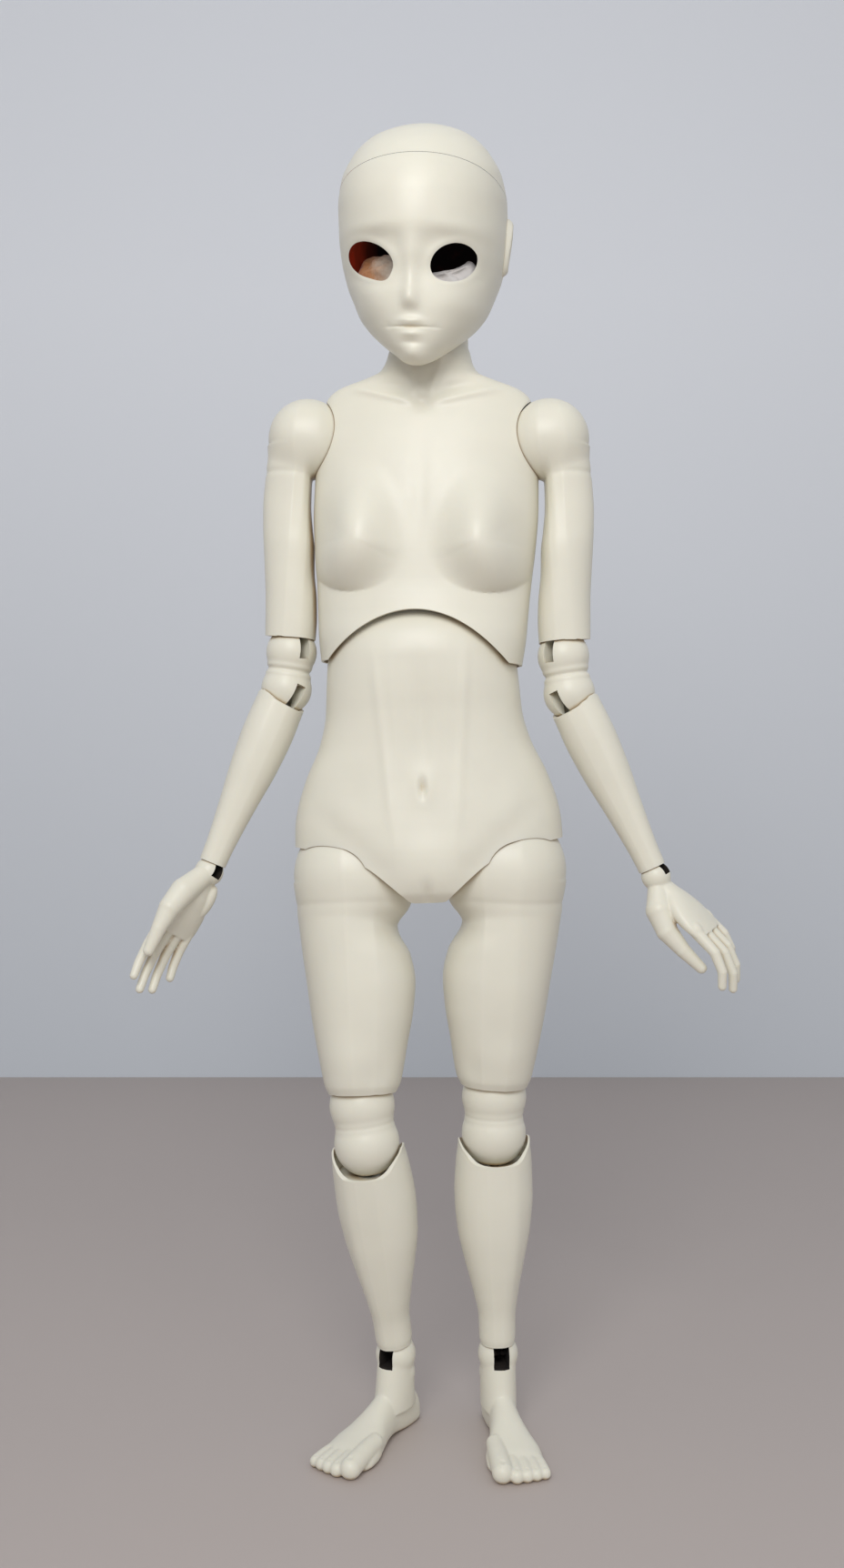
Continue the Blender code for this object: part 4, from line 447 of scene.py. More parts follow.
# Finishes
def printedPlastic(name, shift=0.0):
    # Cream print: faint strips along the height, fine grain, and dust with painted shade in the seams
    material, tree, shader = makeMaterial(name)
    place = addNode(tree, "ShaderNodeTexCoord")
    broad = addNode(tree, "ShaderNodeTexNoise", {"Scale": 34.0, "Detail": 4.0, "Roughness": 0.55})
    tree.links.new(place.outputs["Object"], broad.inputs["Vector"])
    color, shade = plastic["color"], plastic["shade"]
    base = addRamp(tree, broad.outputs["Fac"], [(0.30, [c * (0.965 + shift) for c in color]),
                                                (0.52, [c * (1.0 + shift) for c in color]),
                                                (0.80, [min(1, c * (1.03 + shift)) for c in color])])
    # dust and painted shade: ambient occlusion darkens seams and hollows toward the shade colour
    seam = addNode(tree, "ShaderNodeAmbientOcclusion", {"Distance": plastic["seamReach"]}, samples=8,
                   only_local=False)
    seamDustAndShade = addRamp(tree, seam.outputs["AO"], [(0.30, (0, 0, 0)), (0.78, (1, 1, 1))])
    mix = addNode(tree, "ShaderNodeMix", data_type="RGBA")
    mix.inputs[6].default_value = (*shade, 1)
    tree.links.new(seamDustAndShade.outputs["Color"], mix.inputs[0])
    tree.links.new(base.outputs["Color"], mix.inputs[7])
    tree.links.new(mix.outputs[2], shader.inputs["Base Color"])
    layers = addNode(tree, "ShaderNodeTexWave", {"Scale": 1 / plastic["layerPitch"] / 20, "Distortion": 1.2,
                                                 "Detail": 2.0, "Detail Scale": 0.6}, wave_type="BANDS",
                     bands_direction="Z")
    tree.links.new(place.outputs["Object"], layers.inputs["Vector"])
    grain = addNode(tree, "ShaderNodeTexNoise", {"Scale": 1700.0, "Detail": 3.0, "Roughness": 0.6})
    tree.links.new(place.outputs["Object"], grain.inputs["Vector"])
    gloss = addRamp(tree, grain.outputs["Fac"], [(0.25, [plastic["roughness"] - 0.05] * 3),
                                                 (0.80, [plastic["roughness"] + 0.10] * 3)])
    tree.links.new(gloss.outputs["Color"], shader.inputs["Roughness"])
    first = addNode(tree, "ShaderNodeBump", {"Strength": plastic["layerDepth"], "Distance": 0.0002})
    tree.links.new(layers.outputs["Fac"], first.inputs["Height"])
    second = addNode(tree, "ShaderNodeBump", {"Strength": plastic["grainDepth"], "Distance": 0.00012})
    tree.links.new(grain.outputs["Fac"], second.inputs["Height"])
    tree.links.new(first.outputs["Normal"], second.inputs["Normal"])
    tree.links.new(second.outputs["Normal"], shader.inputs["Normal"])
    shader.inputs["Subsurface Weight"].default_value = plastic["glow"]
    shader.inputs["Subsurface Radius"].default_value = (1.0, 0.75, 0.45)
    shader.inputs["Subsurface Scale"].default_value = plastic["glowReach"]
    shader.inputs["IOR"].default_value = 1.47
    shader.inputs["Specular IOR Level"].default_value = 0.42
    return material


def hollowPaint():
    # The inside of the head: painted shade, near black, with a painted red glow of light through the shell toward the
    # doll's right cheek
    material, tree, shader = makeMaterial("headInside")
    place = addNode(tree, "ShaderNodeTexCoord")
    split = addNode(tree, "ShaderNodeSeparateXYZ")
    tree.links.new(place.outputs["Object"], split.inputs["Vector"])
    noise = addNode(tree, "ShaderNodeTexNoise", {"Scale": 210.0, "Detail": 4.0})
    tree.links.new(place.outputs["Object"], noise.inputs["Vector"])
    across = addNode(tree, "ShaderNodeMapRange",
                     {"From Min": -0.0240, "From Max": -0.0160, "To Min": 1.0, "To Max": 0.0})
    tree.links.new(split.outputs["X"], across.inputs["Value"])
    rough = addNode(tree, "ShaderNodeMath", {1: 0.35}, operation="MULTIPLY")
    tree.links.new(noise.outputs["Fac"], rough.inputs[0])
    total = addNode(tree, "ShaderNodeMath", operation="MULTIPLY_ADD")
    tree.links.new(across.outputs["Result"], total.inputs[0])
    total.inputs[1].default_value = 0.8
    tree.links.new(rough.outputs["Value"], total.inputs[2])
    ramp = addRamp(tree, total.outputs["Value"], [(0.20, (0.004, 0.003, 0.003)), (0.50, (0.06, 0.010, 0.005)),
                                                  (0.95, (0.32, 0.030, 0.012))])
    tree.links.new(ramp.outputs["Color"], shader.inputs["Base Color"])
    # painted glow: the painted shade and red light also shine weakly by emission
    tree.links.new(ramp.outputs["Color"], shader.inputs["Emission Color"])
    shader.inputs["Emission Strength"].default_value = 0.22
    shader.inputs["Roughness"].default_value = 0.85
    return material


def slotPaint():
    # The sides of the cord slots: painted deep shade, bare print coloured near black
    material, tree, shader = makeMaterial("slotShade")
    place = addNode(tree, "ShaderNodeTexCoord")
    noise = addNode(tree, "ShaderNodeTexNoise", {"Scale": 500.0, "Detail": 3.0})
    tree.links.new(place.outputs["Object"], noise.inputs["Vector"])
    ramp = addRamp(tree, noise.outputs["Fac"], [(0.3, (0.006, 0.005, 0.004)), (0.75, (0.030, 0.020, 0.013))])
    tree.links.new(ramp.outputs["Color"], shader.inputs["Base Color"])
    shader.inputs["Roughness"].default_value = 0.9
    return material


def elasticPaint():
    # Black elastic with a round braid
    material, tree, shader = makeMaterial("braidedElastic")
    place = addNode(tree, "ShaderNodeTexCoord")
    waves = []
    for turn in ("X", "Z"):
        wave = addNode(tree, "ShaderNodeTexWave", {"Scale": 160.0, "Distortion": 0.4}, bands_direction=turn)
        tree.links.new(place.outputs["Object"], wave.inputs["Vector"])
        waves.append(wave)
    braid = addNode(tree, "ShaderNodeMath", operation="MULTIPLY")
    tree.links.new(waves[0].outputs["Fac"], braid.inputs[0])
    tree.links.new(waves[1].outputs["Fac"], braid.inputs[1])
    ramp = addRamp(tree, braid.outputs["Value"], [(0.1, (0.005, 0.005, 0.006)), (0.8, (0.035, 0.033, 0.036))])
    tree.links.new(ramp.outputs["Color"], shader.inputs["Base Color"])
    ridge = addNode(tree, "ShaderNodeBump", {"Strength": 0.5, "Distance": 0.0002})
    tree.links.new(braid.outputs["Value"], ridge.inputs["Height"])
    tree.links.new(ridge.outputs["Normal"], shader.inputs["Normal"])
    shader.inputs["Roughness"].default_value = 0.75
    return material


def hookPaint():
    # Dull bent wire
    material, tree, shader = makeMaterial("dullWire")
    place = addNode(tree, "ShaderNodeTexCoord")
    noise = addNode(tree, "ShaderNodeTexNoise", {"Scale": 900.0, "Detail": 3.0})
    tree.links.new(place.outputs["Object"], noise.inputs["Vector"])
    ramp = addRamp(tree, noise.outputs["Fac"], [(0.3, (0.020, 0.019, 0.019)), (0.7, (0.075, 0.070, 0.066))])
    tree.links.new(ramp.outputs["Color"], shader.inputs["Base Color"])
    gloss = addRamp(tree, noise.outputs["Fac"], [(0.3, (0.30, 0.30, 0.30)), (0.7, (0.5, 0.5, 0.5))])
    tree.links.new(gloss.outputs["Color"], shader.inputs["Roughness"])
    shader.inputs["Metallic"].default_value = 1.0
    return material


def waddingPaint():
    # Off-white wadding with a painted red-brown glow of light through the shell toward the doll's right
    material, tree, shader = makeMaterial("crumpledWadding")
    place = addNode(tree, "ShaderNodeTexCoord")
    noise = addNode(tree, "ShaderNodeTexNoise", {"Scale": 260.0, "Detail": 6.0, "Roughness": 0.65})
    tree.links.new(place.outputs["Object"], noise.inputs["Vector"])
    split = addNode(tree, "ShaderNodeSeparateXYZ")
    tree.links.new(place.outputs["Object"], split.inputs["Vector"])
    across = addNode(tree, "ShaderNodeMapRange",
                     {"From Min": -0.021, "From Max": -0.006, "To Min": 0.0, "To Max": 0.75})
    tree.links.new(split.outputs["X"], across.inputs["Value"])
    total = addNode(tree, "ShaderNodeMath", operation="MULTIPLY_ADD")
    tree.links.new(noise.outputs["Fac"], total.inputs[0])
    total.inputs[1].default_value = 0.5
    tree.links.new(across.outputs["Result"], total.inputs[2])
    ramp = addRamp(tree, total.outputs["Value"], [(0.15, (0.16, 0.030, 0.012)), (0.40, (0.42, 0.20, 0.09)),
                                                  (0.68, (0.62, 0.52, 0.42)), (1.0, (0.60, 0.57, 0.55))])
    tree.links.new(ramp.outputs["Color"], shader.inputs["Base Color"])
    # painted glow: the wadding's colours shine weakly by emission
    tree.links.new(ramp.outputs["Color"], shader.inputs["Emission Color"])
    shader.inputs["Emission Strength"].default_value = 0.16
    fold = addNode(tree, "ShaderNodeBump", {"Strength": 0.8, "Distance": 0.0005})
    tree.links.new(noise.outputs["Fac"], fold.inputs["Height"])
    tree.links.new(fold.outputs["Normal"], shader.inputs["Normal"])
    shader.inputs["Roughness"].default_value = 0.95
    shader.inputs["Sheen Weight"].default_value = 0.3
    return material


creamShell = printedPlastic("creamPrint")
creamHead = printedPlastic("creamHead", 0.01)
hollowShadeGlow = hollowPaint()
slotShade = slotPaint()
blackElastic = elasticPaint()
dullWire = hookPaint()
softWadding = waddingPaint()
print("finishes made")


# Torso
pelvis = {
    "width": 0.0852, "depth": 0.0460, "waistHeight": 0.0675, "crotchDrop": 0.0082,
    "waistWidth": 0.0598, "waistDepth": 0.0420, "waistBack": 0.83, "domeHeight": 0.0210,
    "hipSpacing": 0.047, "hipBall": 0.0198, "boreRadius": 0.0019,
    "wellFloor": 0.0026, "wellMouth": 0.0062, "wellDrop": 0.0064,
}
pelvisRings = (
    (-0.13, 0.60, 0.72, 0.78), (-0.07, 0.84, 0.86, 0.96), (0.03, 0.985, 0.93, 1.10), (0.135, 1.0, 0.955, 1.14),
    (0.23, 0.995, 0.945, 1.12), (0.31, 0.975, 0.925, 1.06), (0.45, 0.905, 0.885, 0.94), (0.62, 0.785, 0.855, 0.80),
    (0.75, 0.735, 0.870, 0.75), (0.84, 0.724, 0.895, 0.745), (0.93, 0.714, 0.910, 0.755), (1.0, 0.704, 0.913, 0.758))
legOpening = ((0.00, 1.00), (0.11, 0.99), (0.19, 0.66), (0.29, 0.20), (0.42, -0.34), (0.56, -0.74), (0.72, -0.98),
              (0.88, -1.12), (1.15, -1.30))


def spot2(x, z, centre, size):
    return np.exp(-((x - centre[0]) / size[0]) ** 2 - ((z - centre[1]) / size[1]) ** 2)


def ridgeAlong(x, z, start, end, wide):
    # A soft rise along a straight line, fading past its ends
    sx, sz = start
    dx, dz = end[0] - sx, end[1] - sz
    length = math.hypot(dx, dz)
    t = ((x - sx) * dx + (z - sz) * dz) / length ** 2
    side = ((x - sx) * dz - (z - sz) * dx) / length
    fade = np.clip(np.minimum(t + 0.15, 1.15 - t) / 0.3, 0, 1)
    return np.exp(-(side / wide) ** 2) * fade


def flatStrip(r, a, middle, half, much):
    # Flattens a strip of a round piece between two directions, as a long printed facet
    count = a.shape[1]
    step = 360 / count
    low, high = int(round((middle - half) / step)), int(round((middle + half) / step))
    px, py = r[:, low % count] * np.cos(a[0, low % count]), r[:, low % count] * np.sin(a[0, low % count])
    qx, qy = r[:, high % count] * np.cos(a[0, high % count]), r[:, high % count] * np.sin(a[0, high % count])
    for k in range(low + 1, high):
        k %= count
        cos, sin = np.cos(a[0, k]), np.sin(a[0, k])
        chord = (px * qy - py * qx) / (cos * (qy - py) - sin * (qx - px))
        r[:, k] += (chord - r[:, k]) * much
    return r


def torsoRows(shares, height, width, depth):
    return [(height * up, width / 2 * wide, width / 2 * wide, depth / 2 * front, depth / 2 * back)
            for up, wide, front, back in shares]


def shapeFront(points, lift):
    # Moves the front half of a skin forward by what lift gives at each (x, z)
    front = points[..., 1] < 0
    move = lift(points[..., 0], points[..., 2])
    share = np.clip(-points[..., 1] / 0.004, 0, 1)
    points[..., 1] -= np.where(front, move * share, 0)
    return points


def skinPoints(zs, reach, segments, side=1):
    angles = np.arange(segments) / segments * 2 * np.pi
    z, a = np.meshgrid(zs, angles, indexing="ij")
    r = reach(z, a)
    return np.stack([r * np.cos(a) * side, r * np.sin(a), z], -1)


def makeLowerTorso():
    place = bodyFrames["pelvis"]
    high, dome = pelvis["waistHeight"], pelvis["domeHeight"]
    rows = torsoRows(pelvisRings, high, pelvis["width"], pelvis["depth"])
    waist = (pelvis["waistWidth"] / 2, pelvis["waistDepth"] / 2)

    def reach(z, a):
        out, inn, front, back = columnsAt(rows, z)
        r = ovalReach(a, out, inn, front, back, 2.06)
        level = np.sqrt(np.clip(1 - ((z - high) / dome) ** 2, 0.0005, 1))
        top = ovalReach(a, waist[0] * level, waist[0] * level, waist[1] * level,
                        waist[1] * level * pelvis["waistBack"], 2.06)
        r = np.where(z > high, top, r)
        return flatStrip(r, a, 270, 24, 0.5 * np.clip((high + 0.008 - z[:, 0]) / 0.022, 0, 1))

    def lift(x, z):
        rise = -0.0017 * spot2(x, z, (-0.0004, high * 0.40), (0.0011, 0.0026))
        rise += 0.0006 * spot2(x, z, (0, high * 0.405), (0.0034, 0.0050))
        rise += -0.0006 * spot2(x, z, (0, high * 0.74), (0.0024, 0.0150))
        rise += 0.0022 * spot2(x, z, (0, 0), (0.0140, 0.0120))
        rise += -0.0010 * spot2(x, z, (0, -high * 0.085), (0.0016, 0.0042))
        for way in (-1, 1):
            rise += -0.0007 * ridgeAlong(x, z, (way * 0.0330, high * 0.30), (way * 0.0105, -high * 0.02), 0.0042)
            rise += 0.0008 * spot2(x, z, (way * 0.0270, high * 0.26), (0.0070, 0.0085))
            rise += 0.0004 * ridgeAlong(x, z, (way * 0.0140, high * 0.98), (way * 0.0100, high * 0.22), 0.0016)
        return rise

    zs = np.concatenate([np.linspace(high + dome * 0.985, high, 46)[:-1], np.linspace(high, -0.13 * high, 150)])
    points = shapeFront(skinPoints(zs, reach, 240), lift)
    behind = points[..., 1] > 0
    x, z = points[..., 0], points[..., 2]
    cleft = 0.0045 * spot2(x, z, (0, high * 0.06), (0.0040, 0.0170))
    cleft = cleft + 0.0012 * spot2(x, z, (0, high * 0.62), (0.0050, 0.0200))
    cheeks = sum(0.0016 * spot2(x, z, (way * 0.0190, high * 0.08), (0.0130, 0.0130)) for way in (-1, 1))
    points[..., 1] -= np.where(behind, (cleft - cheeks) * np.clip(points[..., 1] / 0.004, 0, 1), 0)
    torso = makePiece("lowerTorso", gridMesh(points), place)
    half = pelvis["width"] / 2
    across = np.linspace(0, 1.15, 46)
    down = curveAt([p[0] for p in legOpening], [p[1] for p in legOpening], across)
    line = [(half * float(u), -pelvis["crotchDrop"] * float(v)) for u, v in zip(across, down)]
    line = [(-u, v) for u, v in reversed(line[1:])] + line
    line += [(line[-1][0], -0.046), (-line[-1][0], -0.046)]
    steps = [("DIFFERENCE", prismMesh(line, -0.046, 0.046, uprightTurn), None)]
    top = (0, 0, high)
    steps.append(("DIFFERENCE", barMesh((0, 0, high - pelvis["wellDrop"]), (0, 0, high + dome + gap),
                                        pelvis["wellFloor"], pelvis["wellMouth"]), None))
    for name, way in sides:
        hip = (way * pelvis["hipSpacing"] / 2, 0, 0)
        steps.append(("DIFFERENCE", ballMesh(pelvis["hipBall"] + gap, hip, segments=96), None))
        steps.append(("DIFFERENCE", barMesh(hip, top, pelvis["boreRadius"]), None))
    carve(torso, steps, place)
    return finishShell(torso, creamShell, "lower_torso", ["lower_torso"])


chest = {
    "width": 0.0740, "depth": 0.0400, "neckHeight": 0.101, "neckBall": 0.0122, "rimGap": 0.0013,
    "archWidth": 0.0565, "archRise": 0.0152, "backRise": 0.0060, "rimDrop": 0.0010, "hollowHeight": 0.0360,
    "breastSpacing": 0.0396, "breastHeight": 0.0345, "breastRadius": 0.0178, "breastReach": 0.0092,
    "breastUpper": 0.0300, "breastLower": 0.0145, "shoulderSpacing": 0.0770, "shoulderHeight": 0.0705,
    "shoulderBall": 0.0127, "neckWell": 0.0066, "cordBow": 0.0045, "frontGap": 0.8,
}
chestRings = (
    (-0.010, 0.866, 1.165, 0.975), (0.07, 0.894, 1.10, 0.970), (0.14, 0.906, 1.00, 0.967), (0.24, 0.925, 0.93, 0.94),
    (0.36, 0.955, 0.92, 0.98), (0.47, 0.970, 0.90, 1.00), (0.58, 0.965, 0.83, 0.99), (0.66, 0.965, 0.75, 0.97),
    (0.733, 0.935, 0.67, 0.88), (0.79, 0.905, 0.60, 0.80), (0.822, 0.875, 0.57, 0.75), (0.848, 0.800, 0.555, 0.72),
    (0.872, 0.632, 0.550, 0.69), (0.900, 0.440, 0.575, 0.660), (0.935, 0.375, 0.630, 0.65), (0.968, 0.350, 0.630, 0.63),
    (0.990, 0.325, 0.590, 0.60))
hollowShares = ((-0.20, 1.0, 1.0), (0.0, 1.0, 1.0), (0.14, 1.005, 0.972), (0.27, 1.005, 0.890), (0.39, 1.0, 0.800),
                (0.54, 0.985, 0.780), (0.70, 0.960, 0.720), (0.86, 0.850, 0.620), (1.0, 0.500, 0.300))


def breastLift(x, z):
    lift = np.zeros_like(x)
    for way in (-1, 1):
        across = (x - way * chest["breastSpacing"] / 2) / chest["breastRadius"]
        rise = z - chest["breastHeight"]
        up = np.where(rise > 0, rise / chest["breastUpper"], rise / chest["breastLower"])
        far = np.maximum(np.hypot(across, up), 1e-6)
        crease = np.clip((0.42 * across * way - 0.91 * up) / far, 0, 1)
        soft = 2.5 - 1.86 * crease ** 1.2
        form = chest["breastReach"] * np.cos(np.minimum(far, 1) * np.pi / 2) ** soft
        lift = np.maximum(lift, np.where(far < 1, form, 0))
    return lift


def makeUpperTorso():
    place = bodyFrames["chest"]
    neck, ball = chest["neckHeight"], chest["neckBall"]
    rows = torsoRows(chestRings, neck, chest["width"], chest["depth"])

    def reach(z, a):
        out, inn, front, back = columnsAt(rows, z)
        r = ovalReach(a, out, inn, front, back, 2.08)
        r = np.where(z > rows[-1][0], 0, r)
        globe = np.sqrt(np.maximum(0, ball ** 2 - (z - neck) ** 2))
        r = smoothMax(r, globe, 0.0006)
        return np.maximum(r, gap)

    def lift(x, z):
        rise = breastLift(x, z)
        rise += -0.0010 * spot2(x, z, (-0.0008, 0.0795), (0.0028, 0.0024))
        rise += 0.0007 * ridgeAlong(x, z, (-0.0225, 0.0845), (-0.0045, 0.0795), 0.0013)
        rise += 0.0007 * ridgeAlong(x, z, (0.0225, 0.0845), (0.0040, 0.0795), 0.0013)
        rise += -0.0006 * ridgeAlong(x, z, (-0.0215, 0.0880), (-0.0060, 0.0835), 0.0018)
        rise += -0.0006 * ridgeAlong(x, z, (0.0215, 0.0880), (0.0055, 0.0835), 0.0018)
        rise += -0.0005 * spot2(x, z, (0, 0.050), (0.0030, 0.0160))
        rise += 0.0004 * ridgeAlong(x, z, (-0.0070, 0.0985), (-0.0018, 0.0830), 0.0014)
        rise += 0.0004 * ridgeAlong(x, z, (0.0070, 0.0985), (0.0018, 0.0830), 0.0014)
        return rise

    zs = np.concatenate([ballLevels(neck, ball, neck + ball * 0.997, neck * 0.99, 40)[:-1],
                         np.linspace(neck * 0.99, -0.010 * neck, 220)])
    points = shapeFront(skinPoints(zs, reach, 260), lift)
    behind = points[..., 1] > 0
    x, z = points[..., 0], points[..., 2]
    blades = sum(0.0012 * spot2(x, z, (way * 0.0180, 0.058), (0.0075, 0.0140)) for way in (-1, 1))
    spine = 0.0011 * spot2(x, z, (0, 0.040), (0.0032, 0.0280))
    points[..., 1] += np.where(behind, (blades - spine) * np.clip(points[..., 1] / 0.004, 0, 1), 0)
    torso = makePiece("upperTorso", gridMesh(points), place)
    wide = pelvis["waistWidth"] / 2 + chest["rimGap"]
    front = pelvis["waistDepth"] / 2 + chest["rimGap"] * chest["frontGap"]
    hollow = [(chest["hollowHeight"] * share, wide * spread, wide * spread, front * depth,
               front * min(depth, pelvis["waistBack"])) for share, spread, depth in hollowShares]
    hollowPlace = frameOf(place.translation, bodyFrames["pelvis"].to_3x3() @ Vector((1, 0, 0)),
                          place.to_3x3() @ Vector((0, 0, 1)))

    def hollowReach(z, a):
        return ovalReach(a, *columnsAt(hollow, z))

    hollowMesh = polarMesh(np.linspace(hollow[-1][0], hollow[0][0], 60), hollowReach, 160)
    steps = [("DIFFERENCE", hollowMesh, hollowPlace)]
    for rise, low, high in ((chest["archRise"], -0.0008, 0.040), (chest["backRise"], -0.040, -0.0008)):
        half = chest["archWidth"] / 2
        across = np.linspace(1, -1, 61)
        line = [(half * float(u), -chest["rimDrop"] + rise * (1 - float(u) ** 2)) for u in across]
        line += [(-half, -0.03), (half, -0.03)]
        steps.append(("DIFFERENCE", prismMesh(line, low, high, uprightTurn), None))
    for name, way in sides:
        shoulder = (way * chest["shoulderSpacing"] / 2, 0, chest["shoulderHeight"])
        steps.append(("DIFFERENCE", ballMesh(chest["shoulderBall"] + gap, shoulder, segments=96), None))
    bore = pelvis["boreRadius"]
    steps.append(("DIFFERENCE", barMesh((0, 0, chest["hollowHeight"] / 2), (0, 0, neck), bore), None))
    well = barMesh((0, 0, neck - 0.0026), (0, 0, neck + ball + gap), 0.0026, chest["neckWell"])
    steps.append(("DIFFERENCE", well, None))
    reachAcross = chest["shoulderSpacing"] / 2
    route = [(reachAcross * s, chest["cordBow"] * (1 - s ** 2) ** 2, chest["shoulderHeight"])
             for s in np.linspace(-1, 1, 33)]
    steps.append(("DIFFERENCE", tubeMesh(route, bore), None))
    carve(torso, steps, place)
    return finishShell(torso, creamShell, "upper_torso", ["upper_torso"])


makeLowerTorso()
makeUpperTorso()
print("torso made")


# Legs
leg = {
    "thighLength": 0.0720, "thighWidth": 0.0380, "thighDepth": 0.0350, "hipWell": 0.0212, "kneeBall": 0.0102,
    "kneeSpacing": 0.0116, "kneeWaist": 0.0188, "slotWidth": 0.0036, "shinLength": 0.0712, "calfEnd": 0.0672,
    "shinWidth": 0.0240, "shinDepth": 0.0250, "ankleBall": 0.0064, "bore": 0.0019,
    "cupMouth": (0.0108, 0.0109, 0.0105, 0.0108), "ballBlend": 0.0028,
}
thighRings = (
    (0.03, 0.990, 0.60, 0.96, 0.98), (0.14, 1.000, 0.61, 0.99, 1.02), (0.25, 0.965, 0.66, 0.98, 1.03),
    (0.36, 0.915, 0.87, 0.97, 1.03), (0.47, 0.860, 0.940, 0.96, 1.00), (0.60, 0.800, 0.890, 0.91, 0.93),
    (0.74, 0.720, 0.780, 0.83, 0.82), (0.86, 0.640, 0.690, 0.76, 0.73), (0.91, 0.600, 0.640, 0.72, 0.68),
    (0.946, 0.545, 0.570, 0.64, 0.60))
thighRim = ((-2.4, 0.40), (0.0, 0.38), (0.75, 0.55), (2.4, 1.30))
shinRim = ((-2.4, -0.95), (-1.0, -0.76), (-0.55, -0.40), (0.0, -0.16), (0.45, -0.25), (1.0, -0.80), (2.4, -1.90))
shinRings = (
    (-0.02, 0.940, 0.940, 0.885, 0.920), (0.04, 0.950, 0.955, 0.890, 0.960), (0.12, 0.985, 1.015, 0.905, 1.060),
    (0.28, 1.000, 1.075, 0.910, 1.170), (0.44, 0.920, 1.020, 0.870, 1.120), (0.60, 0.750, 0.840, 0.770, 0.900),
    (0.76, 0.570, 0.620, 0.630, 0.660), (0.88, 0.480, 0.500, 0.520, 0.540), (1.00, 0.470, 0.490, 0.490, 0.510))


def limbRows(shares, length, width, depth, top=0.0):
    return [(top - length * down, width / 2 * out, width / 2 * inn, depth / 2 * front, depth / 2 * back)
            for down, out, inn, front, back in shares]


def limbReach(rows, balls=(), power=2.0, soft=0.0003, extra=None):
    top, bottom = rows[0][0], rows[-1][0]

    def reach(z, a):
        r = ovalReach(a, *columnsAt(rows, z), power)
        r = np.where((z <= top) & (z >= bottom), r, 0)
        for centre, radius in balls:
            r = smoothMax(r, np.sqrt(np.maximum(0, radius ** 2 - (z - centre) ** 2)), soft)
        if extra:
            r = extra(z, a, r)
        return np.maximum(r, gap)

    return reach


def rimWedge(shares, radius, up, seed, rough=0.00005, wide=0.040):
    # Everything past a rim line that runs from front to back, with the small waver of a filed edge
    keys, values = [p[0] for p in shares], [p[1] for p in shares]
    along = np.linspace(keys[0], keys[-1], 90)
    rise = np.asarray(curveAt(keys, values, along)) * radius
    wave = np.random.default_rng(seed).normal(0, 1, 90)
    rise = rise + rough * (wave + np.roll(wave, 1) + np.roll(wave, 2)) / 1.7
    line = [(radius * float(u), float(v)) for u, v in zip(along, rise)]
    line += [(line[-1][0], wide * up), (line[0][0], wide * up)]
    return prismMesh(line, -wide, wide, acrossTurn)


def linkPoints(radius, spacing, waist, side, crease):
    # Two balls in one piece, drawn in a little between them
    def reach(z, a):
        upper = np.sqrt(np.maximum(0, radius ** 2 - z ** 2))
        lower = np.sqrt(np.maximum(0, radius ** 2 - (z + spacing) ** 2))
        r = smoothMax(upper, lower, 0.0004)
        middle = np.where((z < 0) & (z > -spacing), waist / 2, 0)
        r = smoothMax(r, middle, 0.0003)
        return np.maximum(r - crease * np.exp(-((z + spacing / 2) / 0.0008) ** 2), gap)

    zs = np.concatenate([ballLevels(0, radius, radius * 0.997, 0, 40)[:-1], np.linspace(0, -spacing, 50)[:-1],
                         ballLevels(-spacing, radius, -spacing, -spacing - radius * 0.997, 40)])
    return skinPoints(zs, reach, 110, side)


def boreWith(radius, spacing, mouth, bore):
    # The bore of a link opens like a funnel at both ends
    out = radius * 1.2
    rows = ((out, mouth), (0.0, bore), (-spacing, bore), (-spacing - out, mouth))
    keys, values = [r[0] for r in rows][::-1], [r[1] for r in rows][::-1]
    zs = np.array([out, out * 0.5, 0.0, -spacing, -spacing - out * 0.5, -spacing - out])
    return polarMesh(zs, lambda z, a: np.interp(z, keys, values), 40)


def slotRange(radius, width, fold, up):
    out = radius * 1.2
    low, high = sorted((-fold * 0.0021, fold * out))
    bottom, top = (-0.0021, out) if up else (-out, 0.0021)
    return (-width / 2, low, bottom), (width / 2, high, top)


